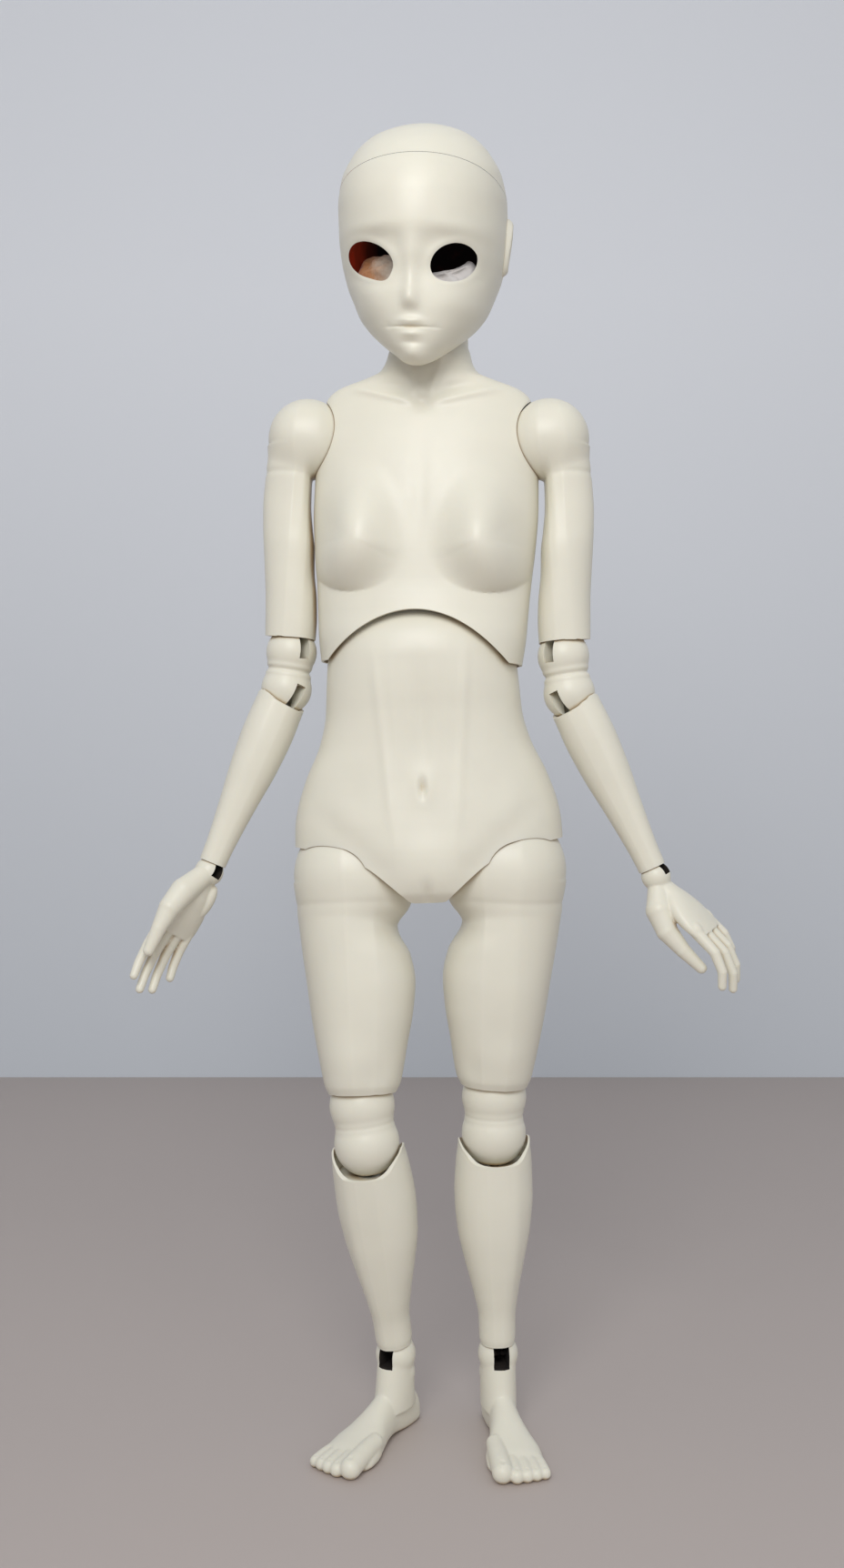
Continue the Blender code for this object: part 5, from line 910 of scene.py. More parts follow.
def makeLeg(name, side):
    place = bodyFrames["thigh" + name]
    rows = limbRows(thighRings, leg["thighLength"], leg["thighWidth"], leg["thighDepth"])

    def thighExtra(z, a, r):
        r = flatStrip(r, a, 252 if side < 0 else 262, 17, 0.65)
        r = r - 0.00014 * np.exp(-((z + 0.0092) / 0.0010) ** 2) + 0.00008 * np.exp(-((z + 0.0118) / 0.0014) ** 2)
        low = leg["thighLength"]
        r = r + 0.0006 * bump(a, z, 270, -low * 0.80, 30, 0.006) - 0.0006 * bump(a, z, 235, -low * 0.87, 18, 0.006)
        return r

    zs = np.concatenate([ballLevels(0, pelvis["hipBall"], pelvis["hipBall"] * 0.997, rows[0][0], 60)[:-1],
                         np.linspace(rows[0][0], rows[-1][0], 150)])
    reach = limbReach(rows, ((0, pelvis["hipBall"]),), 2.04, leg["ballBlend"], thighExtra)
    thigh = makePiece("thigh_" + name, gridMesh(skinPoints(zs, reach, 180, side)), place)
    knee = (0, 0, -leg["thighLength"])
    wedge = rimWedge(thighRim, leg["kneeBall"], -1, 11 + side, 0.00007)
    wedge.transform(Matrix.Translation(knee))
    carve(thigh, [
        ("DIFFERENCE", ballMesh(leg["kneeBall"] + gap, knee), None),
        ("DIFFERENCE", barMesh(knee, (0, 0, 0), leg["bore"]), None),
        ("DIFFERENCE", barMesh((0, 0, -0.0026), (0, 0, pelvis["hipBall"] + gap), 0.0026, leg["hipWell"], 64), None),
        ("DIFFERENCE", wedge, None)], place)
    finishShell(thigh, creamShell, "thigh_" + name, ["thigh_" + name])

    linkPlace = bodyFrames["knee" + name]
    shinPlace = bodyFrames["shin" + name]
    radius, spacing = leg["kneeBall"], leg["kneeSpacing"]
    points = linkPoints(radius, spacing, leg["kneeWaist"], side, 0.0002)
    link = makePiece("knee_link_" + name, gridMesh(points), linkPlace)
    slots = [(spot, slotRange(radius, leg["slotWidth"], 1, spot is linkPlace)) for spot in (linkPlace, shinPlace)]
    carve(link, [("DIFFERENCE", boreWith(radius, spacing, radius * 0.44, leg["bore"]), None)]
          + [("DIFFERENCE", boxMesh(*reach), spot) for spot, reach in slots], linkPlace)
    finishShell(link, creamShell, "knee_link_" + name, ["knee_link_" + name])

    rows = limbRows(shinRings, leg["calfEnd"], leg["shinWidth"], leg["shinDepth"])

    def shinExtra(z, a, r):
        r = flatStrip(r, a, 268, 15, 0.6)
        r = r + 0.00035 * bump(a, z, 300, -0.030, 12, 0.022)
        return r - 0.0003 * np.exp(-((z + leg["calfEnd"]) / 0.0012) ** 2)

    zs = np.linspace(rows[0][0], rows[-1][0], 190)
    points = skinPoints(zs, limbReach(rows, (), 2.04, 0, shinExtra), 150, side)
    shin = makePiece("shin_" + name, gridMesh(points), shinPlace)
    ankle = (0, 0, -leg["shinLength"])
    carve(shin, [
        ("DIFFERENCE", ballMesh(leg["kneeBall"] + gap, segments=96), None),
        ("DIFFERENCE", polarMesh(np.array([0.0125, -0.0094]), lambda z, a: ovalReach(a, *leg["cupMouth"]),
                                 96, side), None),
        ("DIFFERENCE", rimWedge(shinRim, leg["kneeBall"], 1, 21 + side, 0.00005), None),
        ("DIFFERENCE", barMesh(ankle, (0, 0, 0), leg["bore"]), None),
        ("DIFFERENCE", ballMesh(leg["ankleBall"] + gap, ankle), None)], shinPlace)
    finishShell(shin, creamShell, "shin_" + name, ["shin_" + name])


for sideName, sideSign in sides:
    makeLeg(sideName, sideSign)
print("legs made")


# Feet
foot = {
    "length": 0.0480, "width": 0.0176, "backShare": 0.24, "instep": 0.0150, "ankleHeight": 0.0240,
    "ankleWidth": 0.0112, "ankleDepth": 0.0130, "slotWidth": 0.0050, "barRadius": 0.0008, "hook": 0.0029,
    "toeLength": 0.0075, "toeRadius": 0.0023, "knobRadius": 0.0034, "voxel": 0.00036,
}
footRings = (
    (0.00, 0.16, 0.16, 0.26), (0.03, 0.32, 0.32, 0.50), (0.10, 0.45, 0.44, 0.78), (0.22, 0.50, 0.47, 1.00),
    (0.38, 0.52, 0.46, 1.00), (0.55, 0.64, 0.56, 0.78), (0.70, 0.82, 0.76, 0.58), (0.84, 0.97, 0.98, 0.44),
    (0.93, 0.96, 1.02, 0.37), (1.00, 0.84, 0.94, 0.29))
toes = ((-0.66, 1.02, 1.45), (-0.20, 1.05, 1.00), (0.16, 1.00, 0.94), (0.49, 0.93, 0.88), (0.80, 0.84, 0.82))


def joinMeshes(name, meshes, place):
    bm = bmesh.new()
    for mesh in meshes:
        bm.from_mesh(mesh)
        bpy.data.meshes.remove(mesh)
    mesh = bpy.data.meshes.new(name)
    bm.to_mesh(mesh)
    bm.free()
    return makePiece(name, mesh, place)


def chainMeshes(points, side, segments=24):
    # Tapered bones from ball to ball, through points of (x, y, z, radius)
    meshes = []
    for start, end in zip(points, points[1:]):
        a, b = Vector(start[:3]), Vector(end[:3])
        bone = barMesh(a, b, start[3] * 0.985, end[3] * 0.985, segments)
        bone.transform(Matrix.Diagonal((side, 1, 1, 1)))
        meshes.append(bone)
    for x, y, z, radius in points:
        meshes.append(ballMesh(radius, (x * side, y, z), segments=segments))
    return meshes


def soften(piece, voxel, rounds):
    step = piece.modifiers.new("voxels", "REMESH")
    step.mode = "VOXEL"
    step.voxel_size = voxel
    step = piece.modifiers.new("soft", "SMOOTH")
    step.iterations = rounds
    step.factor = 0.5
    applyAll(piece)


def makeFoot(name, side):
    place = bodyFrames["foot" + name]
    sole = -foot["ankleHeight"]
    heel = foot["length"] * foot["backShare"]
    pad = foot["length"] - foot["toeLength"]
    shares = np.linspace(0, 1, 90)
    out, inn, tall = columnsAt(footRings, shares)
    count = 72
    angle = np.arange(count) / count * 2 * np.pi
    y = (heel - pad * shares)[:, None] * np.ones(count)
    across = np.cos(angle) * np.where(np.cos(angle) > 0, out[:, None], inn[:, None]) * foot["width"] / 2
    up = np.sin(angle)
    crown = np.where(up > 0, 0.32 + 0.68 * np.abs(up) ** 0.92, 0.32 * np.maximum(0, (1 + up) ** 2 - 0.10))
    rise = tall[:, None] * foot["instep"] * crown
    arch = 0.0016 * np.exp(-((shares[:, None] - 0.45) / 0.16) ** 2) * np.clip(-np.cos(angle), 0, 1) * (up < 0)
    points = np.stack([side * across, y, sole + rise + arch], -1)
    meshes = [gridMesh(points)]
    half, ball = foot["ankleWidth"] / 2, leg["ankleBall"]
    instep = sole + foot["instep"] * 0.5
    top = -ball * 0.35
    column = [(top, half, half, foot["ankleDepth"] / 2, foot["ankleDepth"] / 2),
              (top * 0.4 + instep * 0.6, half * 1.02, half * 1.02, foot["ankleDepth"] * 0.62,
               foot["ankleDepth"] * 0.52),
              (instep, half, half, foot["ankleDepth"] * 0.8, foot["ankleDepth"] * 0.6)]
    zs = np.concatenate([ballLevels(0, ball, ball * 0.99, top, 24)[:-1], np.linspace(top, instep, 20)])
    meshes.append(gridMesh(skinPoints(zs, limbReach(column, ((0, ball),)), 48, side)))
    for way, size in ((-1, 1.0), (1, 0.9)):
        knob = (side * way * half * 0.56, 0.0010, -0.0060)
        meshes.append(ballMesh(foot["knobRadius"] * size, knob, (0.8, 1.1, 1.2), 24))
    for across, ahead, size in toes:
        radius = foot["toeRadius"] * size
        tip = heel - pad - foot["toeLength"] * ahead
        x = side * foot["width"] / 2 * across
        meshes += chainMeshes([(x, tip + radius * 0.95, sole + radius * 0.88, radius * 0.97),
                               (x * 0.985, tip + radius * 1.9, sole + radius * 1.05, radius * 0.95),
                               (x * 0.96, tip + radius * 3.2, sole + radius * 1.25, radius * 0.90),
                               (x * 0.92, tip + radius * 5.0, sole + radius * 1.45, radius * 0.80)], 1, 24)
    piece = joinMeshes("foot_" + name, meshes, place)
    soften(piece, foot["voxel"], 7)
    reach = ball * 1.2
    room = foot["hook"]
    low, high = (-foot["slotWidth"] / 2, -reach, -room), (foot["slotWidth"] / 2, room, reach)
    steps = [("DIFFERENCE", boxMesh(low, high), None),
             ("DIFFERENCE", boxMesh((-0.05, -0.05, sole - 0.02), (0.05, 0.05, sole)), None)]
    for across, ahead, size in toes:
        radius = foot["toeRadius"] * size
        tip = heel - pad - foot["toeLength"] * ahead
        x = side * foot["width"] / 2 * across
        nail = ballMesh(radius * 0.62, (x, tip + radius * 0.75, sole + radius * 1.98), (0.86, 1.0, 0.40), 20)
        steps.append(("DIFFERENCE", nail, None))
    barEnd = foot["slotWidth"] * 0.75
    steps.append(("UNION", barMesh((-barEnd, 0, 0), (barEnd, 0, 0), foot["barRadius"]), None))
    carve(piece, steps, place)
    finishShell(piece, [creamShell, slotShade], "foot_" + name, ["foot_" + name])
    paintSlot(piece, place, low, high)


for sideName, sideSign in sides:
    makeFoot(sideName, sideSign)
print("feet made")


# Arms
arm = {
    "length": 0.0685, "width": 0.0200, "depth": 0.0180, "wellMouth": 0.0050, "wellTilts": (0.0, 16.0, 32.0, 48.0),
    "elbowBall": 0.0081, "elbowSpacing": 0.0119, "elbowWaist": 0.0146, "slotWidth": 0.0034,
    "foreLength": 0.0635, "foreWidth": 0.0156, "wristBall": 0.0046, "bore": 0.0019,
    "ballBlend": 0.0024,
}
upperArmRings = (
    (0.05, 1.22, 0.80, 1.10, 1.10), (0.12, 1.25, 0.26, 1.04, 1.04), (0.19, 1.27, 0.22, 0.98, 0.99),
    (0.30, 1.28, 0.25, 0.94, 0.97), (0.42, 1.23, 0.37, 0.96, 0.99), (0.50, 1.17, 0.47, 0.99, 1.01),
    (0.62, 1.07, 0.54, 0.96, 0.97), (0.75, 0.97, 0.68, 0.93, 0.93), (0.88, 0.91, 0.74, 0.89, 0.89),
    (0.945, 0.88, 0.74, 0.87, 0.87))
upperArmRim = ((-2.6, 0.60), (0.0, 0.55), (0.7, 0.60), (2.6, 0.95))
forearmRings = (
    (-0.02, 1.00, 1.00, 0.98, 0.98), (0.12, 1.03, 1.03, 1.00, 1.00), (0.22, 1.05, 1.07, 1.00, 1.03),
    (0.40, 0.97, 1.00, 0.93, 0.98), (0.60, 0.79, 0.80, 0.76, 0.82), (0.76, 0.65, 0.66, 0.62, 0.68),
    (0.87, 0.58, 0.58, 0.56, 0.60), (0.955, 0.55, 0.55, 0.54, 0.57))
forearmRim = ((-2.6, -1.00), (-1.0, -0.75), (0.0, -0.45), (0.5, -0.55), (1.0, -0.85), (2.6, -1.60))


def makeArm(name, side):
    place = bodyFrames["upperArm" + name]
    ball = chest["shoulderBall"]
    rows = limbRows(upperArmRings, arm["length"], arm["width"], arm["depth"])

    def armExtra(z, a, r):
        crease = np.exp(-((z + ball * 0.93) / 0.0010) ** 2) * np.clip(np.cos(a) + 0.35, 0, 1)
        r = r - 0.00025 * crease
        return flatStrip(r, a, 268, 20, 0.45)

    zs = np.concatenate([ballLevels(0, ball, ball * 0.997, -ball * 0.5, 50)[:-1],
                         np.linspace(-ball * 0.5, rows[-1][0], 150)])
    points = skinPoints(zs, limbReach(rows, ((0, ball),), 2.0, arm["ballBlend"], armExtra), 120, side)
    upper = makePiece("upper_arm_" + name, gridMesh(points), place)
    elbow = (0, 0, -arm["length"])
    foldPlace = bodyFrames["elbowFold" + name]
    steps = [("DIFFERENCE", ballMesh(arm["elbowBall"] + gap), foldPlace),
             ("DIFFERENCE", barMesh(elbow, (0, 0, 0), arm["bore"]), None)]
    for tilt in arm["wellTilts"]:
        along = Matrix.Rotation(math.radians(side * tilt), 3, "Y") @ Vector((-side, 0, 0))
        well = barMesh(along * -0.0026, along * (ball + gap), 0.0026, arm["wellMouth"], 48)
        steps.append(("DIFFERENCE", well, None))
    steps.append(("DIFFERENCE", rimWedge(upperArmRim, arm["elbowBall"], -1, 31 + side, 0.00006), foldPlace))
    carve(upper, steps, place)
    finishShell(upper, creamShell, "upper_arm_" + name, ["upper_arm_" + name])

    linkPlace = bodyFrames["elbow" + name]
    forePlace = bodyFrames["forearm" + name]
    radius, spacing = arm["elbowBall"], arm["elbowSpacing"]
    points = linkPoints(radius, spacing, arm["elbowWaist"], side, 0.0007)
    link = makePiece("elbow_link_" + name, gridMesh(points), linkPlace)
    slots = [(spot, slotRange(radius, arm["slotWidth"], -1, spot is foldPlace)) for spot in (foldPlace, forePlace)]
    carve(link, [("DIFFERENCE", boreWith(radius, spacing, radius * 0.56, arm["bore"]), None)]
          + [("DIFFERENCE", boxMesh(*reach), spot) for spot, reach in slots], linkPlace)
    finishShell(link, creamShell, "elbow_link_" + name, ["elbow_link_" + name])

    rows = limbRows(forearmRings, arm["foreLength"], arm["foreWidth"], arm["foreWidth"])

    def foreExtra(z, a, r):
        return flatStrip(r, a, 300, 18, 0.5)

    zs = np.linspace(rows[0][0], rows[-1][0], 160)
    points = skinPoints(zs, limbReach(rows, (), 2.0, 0, foreExtra), 110, side)
    fore = makePiece("forearm_" + name, gridMesh(points), forePlace)
    wrist = (0, 0, -arm["foreLength"])
    carve(fore, [
        ("DIFFERENCE", ballMesh(arm["elbowBall"] + gap), None),
        ("DIFFERENCE", rimWedge(forearmRim, arm["elbowBall"], 1, 41 + side, 0.00012), None),
        ("DIFFERENCE", barMesh(wrist, (0, 0, 0), arm["bore"]), None),
        ("DIFFERENCE", ballMesh(arm["wristBall"] + gap, wrist, segments=48), None)], forePlace)
    finishShell(fore, creamShell, "forearm_" + name, ["forearm_" + name])


for sideName, sideSign in sides:
    makeArm(sideName, sideSign)
print("arms made")


# Hands
hand = {
    "palmLength": 0.0200, "palmWidth": 0.0160, "palmDepth": 0.0062, "fingerRadius": 0.0019, "fingerLength": 0.0205,
    "slotWidth": 0.0034, "slotFloor": -0.0010, "hook": 0.0026, "barRadius": 0.0006, "heelRadius": 0.0028,
    "voxel": 0.00028,
}
# Each hand is held its own way: lean toward its back, finger bend and curl, and the thumb as mm and radius
holds = {
    "right": {"lean": 0.0, "bend": 2.0, "curl": 9.0,
              "thumb": ((2.2, -0.8, -2.8, 3.6), (6.4, -2.0, -9.5, 4.2), (8.9, -3.6, -16.0, 3.5),
                        (9.2, -4.6, -23.0, 2.4), (8.6, -5.2, -30.5, 1.75)),
              "heel": (-3.9, -1.6, -9.0), "fan": 0.6},
    "left": {"lean": 0.27, "bend": -15.0, "curl": 24.0,
             "thumb": ((1.5, -1.0, -3.5, 3.1), (5.2, -2.6, -9.5, 4.2), (7.0, -3.0, -16.0, 3.4),
                       (6.8, -1.8, -23.5, 2.4), (5.4, -0.4, -31.0, 1.75)),
             "heel": (-4.6, -0.4, -11.0), "fan": 1.0},
}
palmRings = (
    (0.00, 0.42, 0.42, 0.80, 0.80), (0.15, 0.46, 0.48, 1.05, 0.96), (0.35, 0.72, 0.74, 1.30, 1.05),
    (0.60, 0.96, 0.96, 1.15, 1.00), (0.82, 1.04, 1.00, 0.92, 0.88), (1.00, 0.98, 0.94, 0.70, 0.72))
fingers = ((0.72, 0.98, 5.0, 0.94), (0.24, 1.02, 1.5, 1.04), (-0.24, 1.00, -2.0, 0.98), (-0.70, 0.92, -6.0, 0.78))


def fingerPoints(root, spread, bend, curl, length, radius):
    # Three bones, each bent a little more toward the palm
    points = [(*root, radius * 1.04)]
    spot = Vector(root)
    for index, share in enumerate((0.44, 0.32, 0.24)):
        turn = Matrix.Rotation(math.radians(-spread), 3, "Y") @ Matrix.Rotation(math.radians(-bend), 3, "X")
        spot = spot + turn @ Vector((0, 0, -1)) * length * share
        points.append((*spot, radius * (0.96 - 0.085 * (index + 1))))
        bend += curl
    return points


def makeHand(name, side):
    place = bodyFrames["hand" + name]
    hold = holds[name]
    ball = arm["wristBall"]
    top = -ball * 0.6
    rows = limbRows(palmRings, hand["palmLength"], hand["palmWidth"], hand["palmDepth"], top)
    zs = np.concatenate([ballLevels(0, ball, ball * 0.99, top, 20)[:-1], np.linspace(top, rows[-1][0], 50)])
    points = skinPoints(zs, limbReach(rows, ((0, ball),), 2.2, 0.0004), 64, side)
    points[..., 1] += hold["lean"] * np.maximum(0, top - points[..., 2])
    meshes = [gridMesh(points)]
    half, long, radius = hand["palmWidth"] / 2, hand["palmLength"], hand["fingerRadius"]
    for across, down, spread, size in fingers:
        root = (half * across, hold["lean"] * (long * down - radius), top - long * down + radius)
        bones = fingerPoints(root, spread * hold["fan"], hold["bend"], hold["curl"], hand["fingerLength"] * size,
                             radius)
        meshes += chainMeshes(bones, side, 20)
        knuckle = (side * root[0] * 0.97, root[1] + 0.0005, root[2])
        meshes.append(ballMesh(radius * 1.02, knuckle, (1.0, 0.95, 1.6), 20))
    meshes += chainMeshes([tuple(c * unit for c in point) for point in hold["thumb"]], side, 28)
    x, y, z = hold["heel"]
    meshes.append(ballMesh(hand["heelRadius"], (side * x * unit, y * unit, z * unit), (0.95, 0.90, 2.2), 28))
    piece = joinMeshes("hand_" + name, meshes, place)
    soften(piece, hand["voxel"], 5)
    out = ball * 1.2
    width = hand["slotWidth"]
    room = hand["hook"]
    slots = (((-width / 2, -room, -room), (width / 2, room, out)),
             ((-width / 2, -out, hand["slotFloor"]), (width / 2, out, out)))
    carve(piece, [("DIFFERENCE", boxMesh(*reach), None) for reach in slots] + [
        ("UNION", barMesh((-width * 0.75, 0, 0), (width * 0.75, 0, 0), hand["barRadius"]), None)], place)
    finishShell(piece, [creamShell, slotShade], "hand_" + name, ["hand_" + name])
    for reach in slots:
        paintSlot(piece, place, *reach)


for sideName, sideSign in sides:
    makeHand(sideName, sideSign)
print("hands made")


# Head
head = {
    "height": 0.0645, "width": 0.0526, "depth": 0.0620, "widest": 0.47, "capTilt": 19.0,
    "capPlace": (0.0, -0.0267, 0.0513), "capGap": 0.00012,
    "aside": -0.0013, "formsAside": 0.0011, "faceTilt": 3.3, "eyeHeight": 0.0210,
    "recessTop": 0.0030, "recessWidth": 0.0300, "floorHole": 0.0046, "barHeight": 0.0172,
    "earSize": (0.0050, 0.0094, 0.0180), "earPlace": (0.0252, 0.0030, 0.0280), "earTilt": 12.0, "earFlare": 4.0,
    "earLean": 7.0, "earInset": 0.0009,
}
# The two eye holes differ a little; lean is how far each slants outward and upward through the shell
eyes = {
    "right": {"width": 0.0167, "tall": 0.0095, "tilt": 20.0, "across": 0.0123, "height": 0.0214, "inner": 0.50,
              "outer": 1.0, "lean": (0.24, 0.16)},
    "left": {"width": 0.0135, "tall": 0.0102, "tilt": 29.0, "across": 0.0131, "height": 0.0210, "inner": 1.0,
             "outer": 1.2, "lean": (-0.10, 0.16)},
}
headRings = (
    (-0.130, 0.036, -0.432, -0.360), (-0.118, 0.074, -0.462, -0.300), (-0.100, 0.108, -0.480, -0.215),
    (-0.076, 0.145, -0.492, -0.120), (-0.045, 0.196, -0.500, -0.020), (-0.008, 0.250, -0.505, 0.085),
    (0.047, 0.318, -0.508, 0.195), (0.109, 0.374, -0.510, 0.292), (0.186, 0.416, -0.504, 0.388),
    (0.279, 0.461, -0.487, 0.452), (0.372, 0.487, -0.500, 0.484), (0.496, 0.500, -0.516, 0.492),
    (0.620, 0.500, -0.503, 0.468), (0.744, 0.476, -0.460, 0.403), (0.853, 0.405, -0.379, 0.306),
    (0.930, 0.305, -0.274, 0.194), (0.977, 0.172, -0.153, 0.081), (0.996, 0.060, -0.070, -0.005))
hollowRings = (
    (0.140, 0.150, -0.370, -0.150), (0.165, 0.250, -0.420, -0.040), (0.215, 0.340, -0.440, 0.080),
    (0.260, 0.400, -0.440, 0.330), (0.350, 0.440, -0.452, 0.440), (0.496, 0.456, -0.474, 0.452),
    (0.620, 0.456, -0.462, 0.430), (0.744, 0.427, -0.418, 0.364), (0.853, 0.350, -0.334, 0.264),
    (0.915, 0.262, -0.240, 0.160), (0.950, 0.150, -0.150, 0.070))
# Forms of the face in mm: across, height, how wide and tall, and how far out
faceForms = (
    (0.0, 10.2, 2.3, 2.7, 1.7), (1.6, 8.8, 1.4, 1.5, 0.25), (0.0, 15.0, 2.1, 5.5, 1.15), (0.0, 22.5, 3.6, 5.5, 0.8),
    (0.0, 6.4, 2.2, 1.3, -0.30), (12.8, 21.0, 8.4, 6.8, -1.9), (8.6, 27.6, 5.6, 2.5, -0.50),
    (4.6, 25.2, 2.2, 2.8, -0.40), (13.5, 30.4, 8.5, 2.4, 0.45),
    (13.0, 11.0, 5.5, 5.0, 1.0), (0.0, 3.5, 3.6, 1.1, 0.75), (2.0, 4.0, 1.6, 0.8, 0.20), (0.0, 2.0, 5.8, 0.36, -0.55),
    (0.0, 0.0, 3.0, 1.1, 0.85), (0.0, -2.5, 3.4, 0.9, -0.40), (0.0, -5.6, 2.8, 2.0, 0.70), (7.0, 2.3, 1.0, 0.9, -0.22))


def faceSpot(x, z):
    # Where a place on the face lies in the forms' own upright frame, in mm across and up
    turn, middle = math.radians(head["faceTilt"]), head["eyeHeight"]
    x = x - head["formsAside"]
    across = x * math.cos(turn) - (z - middle) * math.sin(turn)
    up = x * math.sin(turn) + (z - middle) * math.cos(turn) + middle
    return np.abs(across) / unit, up / unit


def asideAt(z):
    # The face stands a little to one side, less toward the chin
    return head["aside"] * np.clip((z + 0.006) / 0.022, 0, 1)


def eyeRing(x, z):
    # 1 on the rim of the nearer eye hole, less inside it
    turn, rings = math.radians(head["faceTilt"]), []
    for name, side in sides:
        eye = eyes[name]
        tilt = math.radians(eye["tilt"])
        across = side * (x * math.cos(turn) - (z - eye["height"]) * math.sin(turn)) - eye["across"]
        up = x * math.sin(turn) + (z - eye["height"]) * math.cos(turn)
        rings.append(np.hypot((across * math.cos(tilt) + up * math.sin(tilt)) * 2 / eye["width"],
                              (up * math.cos(tilt) - across * math.sin(tilt)) * 2 / eye["tall"]))
    return np.minimum(*rings)


def faceRise(x, z):
    # How far the forms of the face stand out of the plain head, in mm
    across, up = faceSpot(x, z)
    out = 0.28 * np.exp(-((eyeRing(x, z) - 1.12) / 0.20) ** 2)
    for middle, height, spread, tall, reach in faceForms:
        out = out + reach * np.exp(-((across - middle) / spread) ** 2 - ((up - height) / tall) ** 2)
    return out


def skinDepth(x, z):
    # The y of the face's skin at a place on it
    rows = [(head["height"] * up, head["width"] * wide, head["depth"] * front, head["depth"] * back)
            for up, wide, front, back in headRings]
    x = x - asideAt(z)
    wide, front, back = columnsAt(rows, z)
    middle = back - (back - front) * head["widest"]
    level = np.sqrt(np.clip(1 - (x / wide) ** 2, 0, 1))
    return middle - (middle - front) * level - faceRise(x, z) * unit * np.clip(level * 2, 0, 1)


def headPoints(rings, zs, count, shape):
    rows = [(head["height"] * up, head["width"] * wide, head["depth"] * front, head["depth"] * back)
            for up, wide, front, back in rings]
    angle = np.arange(count) / count * 2 * np.pi
    z, a = np.meshgrid(zs, angle, indexing="ij")
    wide, front, back = columnsAt(rows, z)
    middle = back - (back - front) * head["widest"]
    along = np.where(np.sin(a) > 0, back - middle, middle - front)
    points = np.stack([wide * np.cos(a), middle + along * np.sin(a), z], -1)
    if shape:
        out = faceRise(points[..., 0], z)
        points[..., 1] -= out * unit * np.clip(-np.sin(a) * 2, 0, 1)
        points[..., 0] += asideAt(z)
    return points


def hollowShare(point):
    # 1 on the wall of the head's hollow, less inside it
    rows = [(head["height"] * up, head["width"] * wide, head["depth"] * front, head["depth"] * back)
            for up, wide, front, back in hollowRings]
    if point.z < rows[0][0] - 0.0004 or point.z > rows[-1][0] + 0.0004:
        return 9.0
    wide, front, back = (float(v) for v in columnsAt(rows, point.z))
    middle = back - (back - front) * head["widest"]
    along = back - middle if point.y > middle else middle - front
    return math.hypot(point.x / wide, (point.y - middle) / along)


def paintHollow(piece, place):
    # The hollow gets painted shade, and so do the sides of the eye holes past their rims
    inverse = place.inverted()
    spots = [inverse @ face.center for face in piece.data.polygons]
    x, y, z = np.array(spots).T
    near = (y < 0.002) & (eyeRing(x - head["aside"], z) < 1.45)
    sunk = near & (y > skinDepth(x, np.clip(z, 0, 0.04)) + 0.0007)
    for face, spot, deep in zip(piece.data.polygons, spots, sunk):
        if deep or hollowShare(spot) < 1.012:
            face.material_index = 1


def earMesh(side):
    # An ear seen from its side: a rounded shell with a rim, a bowl and a lobe
    wide, deep, tall = head["earSize"]
    rows, count = 44, 60
    v = np.linspace(-0.97, 0.97, rows)[:, None]
    a = (np.arange(count) / count * 2 * np.pi)[None, :]
    level = np.sqrt(1 - v ** 2)
    y = deep / 2 * (1 + 0.16 * v) * level * np.cos(a)
    z = tall / 2 * v + 0 * a
    x = wide / 2 * level * np.sin(a)
    outer = np.sin(a) > 0
    far = np.hypot(y / (deep / 2), z / (tall / 2))
    bowl = np.exp(-((y - 0.0004) / 0.0022) ** 2 - ((z - 0.0008) / 0.0044) ** 2)
    rim = np.exp(-((far - 0.82) / 0.14) ** 2)
    x = x + np.where(outer, 0.0006 * rim - 0.0019 * bowl, 0)
    points = np.stack([x * side, y, z], -1)
    mesh = gridMesh(points)
    turn = Matrix.Rotation(math.radians(-head["earTilt"]), 4, "X")
    px, py, pz = head["earPlace"]
    px -= head["earInset"] * (side < 0)
    flare = Matrix.Rotation(math.radians(side * head["earFlare"]), 4, "Z")
    lean = Matrix.Rotation(math.radians(side * head["earLean"]), 4, "Y")
    mesh.transform(Matrix.Translation((side * px + head["aside"], py, pz)) @ lean @ turn @ flare)
    return mesh


def eyeCutter(name, side):
    # The eye hole: an oval, squarer below the nose's side, that follows the skin and slants through the shell
    eye = eyes[name]
    wide, tall, tilt = eye["width"] / 2, eye["tall"] / 2, math.radians(eye["tilt"])
    turn = math.radians(head["faceTilt"])
    angle = np.arange(120) / 120 * 2 * np.pi
    cos, sin = np.cos(angle), np.sin(angle)
    power = np.where(sin < 0, np.where(cos < 0, eye["inner"], eye["outer"]), 1.0)
    x, z = np.sign(cos) * np.abs(cos) ** power, np.sign(sin) * np.abs(sin) ** power

    def ring(grow, deep):
        across = grow * (wide * x * math.cos(tilt) - tall * z * math.sin(tilt)) + eye["across"]
        across = side * (across + deep * eye["lean"][0])
        up = grow * (wide * x * math.sin(tilt) + tall * z * math.cos(tilt)) + deep * eye["lean"][1]
        return (across * math.cos(turn) + up * math.sin(turn) + head["aside"],
                up * math.cos(turn) - across * math.sin(turn) + eye["height"])

    skin = skinDepth(*ring(1.0, 0))
    rings = []
    for grow, deep, depth in ((1.0, 0, -0.055), (1.0, 0, skin - 0.0006), (1.0, 0, skin),
                              (1.02, 0.0016, skin + 0.0016), (1.06, 0.0060, skin + 0.0060), (1.10, 0.0120, 0.0)):
        across, up = ring(grow, deep)
        rings.append(np.stack([across, depth + 0 * across, up], -1))
    return gridMesh(np.stack(rings))


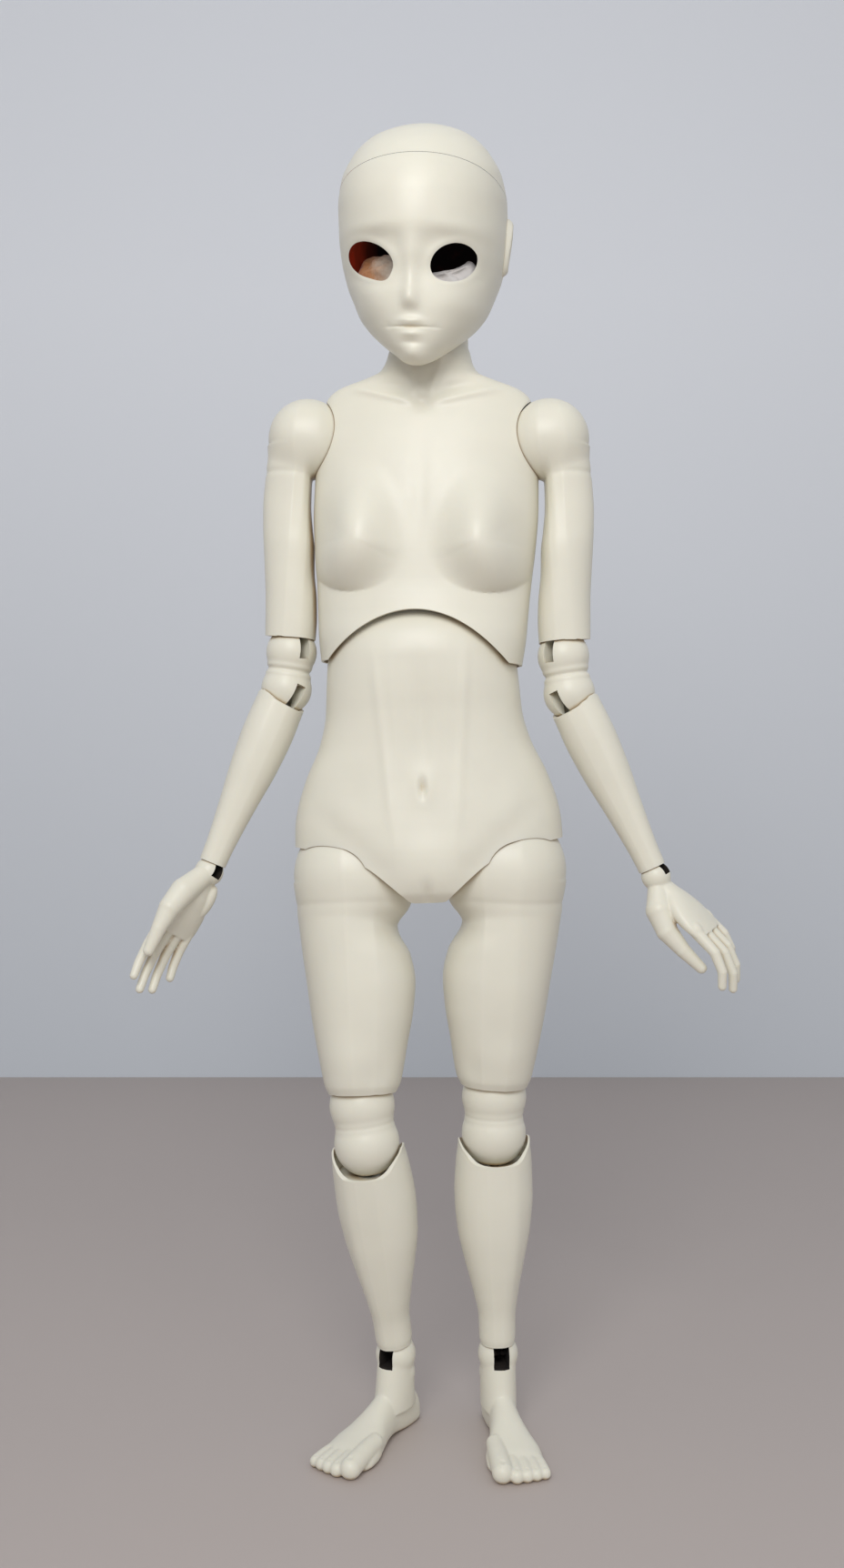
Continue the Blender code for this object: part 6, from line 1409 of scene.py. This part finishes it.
def makeHead():
    place = bodyFrames["head"]
    tall = head["height"]
    zs = np.concatenate([np.linspace(headRings[0][0], 0.34, 190), np.linspace(0.343, 0.996, 110)]) * tall
    zs[-12:] = tall * np.sin(np.linspace(math.asin(zs[-12] / tall), math.asin(0.996), 12))
    points = headPoints(headRings, zs, 260, True)
    hollowZs = np.linspace(hollowRings[0][0], hollowRings[-1][0], 50) * tall
    cavity = headPoints(hollowRings, hollowZs, 120, False)
    shell = makePiece("head_shell", gridMesh(points), place)
    cap = makePiece("head_cap", gridMesh(points), place)
    tilt = Matrix.Translation(head["capPlace"]) @ Matrix.Rotation(math.radians(-head["capTilt"]), 4, "X")
    far = head["depth"]
    seam = boxMesh((-far, -far, 0), (far, far * 2, far))
    seam.transform(tilt)
    below = boxMesh((-far, -far, -far * 2), (far, far * 2, head["capGap"]))
    below.transform(tilt)
    steps = [("UNION", earMesh(side), None) for name, side in sides]
    steps.append(("DIFFERENCE", gridMesh(cavity), None))
    steps += [("DIFFERENCE", eyeCutter(name, side), None) for name, side in sides]
    steps.append(("DIFFERENCE", ballMesh(chest["neckBall"] + gap, segments=96), None))
    steps.append(("DIFFERENCE", barMesh((0, 0, head["recessTop"]), (0, 0, -head["width"]), head["recessWidth"] / 2,
                                        head["width"] / 2, 64), None))
    steps.append(("DIFFERENCE", barMesh((0, 0, head["recessTop"]), (0, 0, head["barHeight"]), head["floorHole"]),
                  None))
    steps.append(("DIFFERENCE", seam, None))
    carve(shell, steps, place)
    carve(cap, [("DIFFERENCE", gridMesh(cavity), None), ("DIFFERENCE", below, None)], place)
    for piece, body in ((shell, "head"), (cap, "head_cap")):
        finishShell(piece, [creamHead, hollowShadeGlow], body, ["head_shell" if piece is shell else "head_cap"])
        paintHollow(piece, place)


# How high the wadding stands, from the doll's right to its left
waddingTop = ((-1.0, 0.0240), (-0.80, 0.0268), (-0.58, 0.0262), (-0.36, 0.0252), (-0.12, 0.0212), (0.25, 0.0190),
              (0.55, 0.0201), (0.74, 0.0220), (0.88, 0.0248), (1.0, 0.0250))


def makeWadding():
    place = bodyFrames["head"]
    size, middle = Vector((0.0372, 0.0200, 0.0170)) / 2, Vector((-0.0015, -0.0125, 0.0158))
    bm = bmesh.new()
    bmesh.ops.create_icosphere(bm, subdivisions=6, radius=1.0)
    dice = np.random.default_rng(7)
    ways = dice.normal(0, 1, (22, 3))
    ways /= np.linalg.norm(ways, axis=1)[:, None]
    pitch = dice.uniform(3.0, 12.0, 22)
    start = dice.uniform(0, 6.28, 22)
    co = np.array([v.co for v in bm.verts])
    fold = np.zeros(len(co))
    for way, rate, phase in zip(ways, pitch, start):
        fold -= np.abs(np.sin(co @ way * rate + phase)) * 0.30 / rate
    fold -= fold.mean()
    crowns = curveAt(*zip(*waddingTop), co[:, 0])
    for vert, spot, change, crown in zip(bm.verts, co, fold, crowns):
        grow = min(1.03, 1 + change)
        up = math.copysign(abs(spot[2]) ** (0.6 if spot[2] > 0 else 1.0), spot[2])
        rise = (crown - middle.z) if up > 0 else size.z
        vert.co = (spot[0] * size.x * grow, spot[1] * size.y * grow, up * rise * (1 + change))
    mesh = bmMesh(bm)
    mesh.transform(Matrix.Translation(middle))
    piece = makePiece("head_wadding", mesh, place)
    finishShell(piece, softWadding, "head", ["head_wadding"])


makeHead()
makeWadding()
print("head made")


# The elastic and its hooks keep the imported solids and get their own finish
for name, piece in frame["nodes"].items():
    if "cord" in name or "hook" in name:
        piece.data.materials.clear()
        piece.data.materials.append(dullWire if "hook" in name else blackElastic)
print("cords and hooks finished")
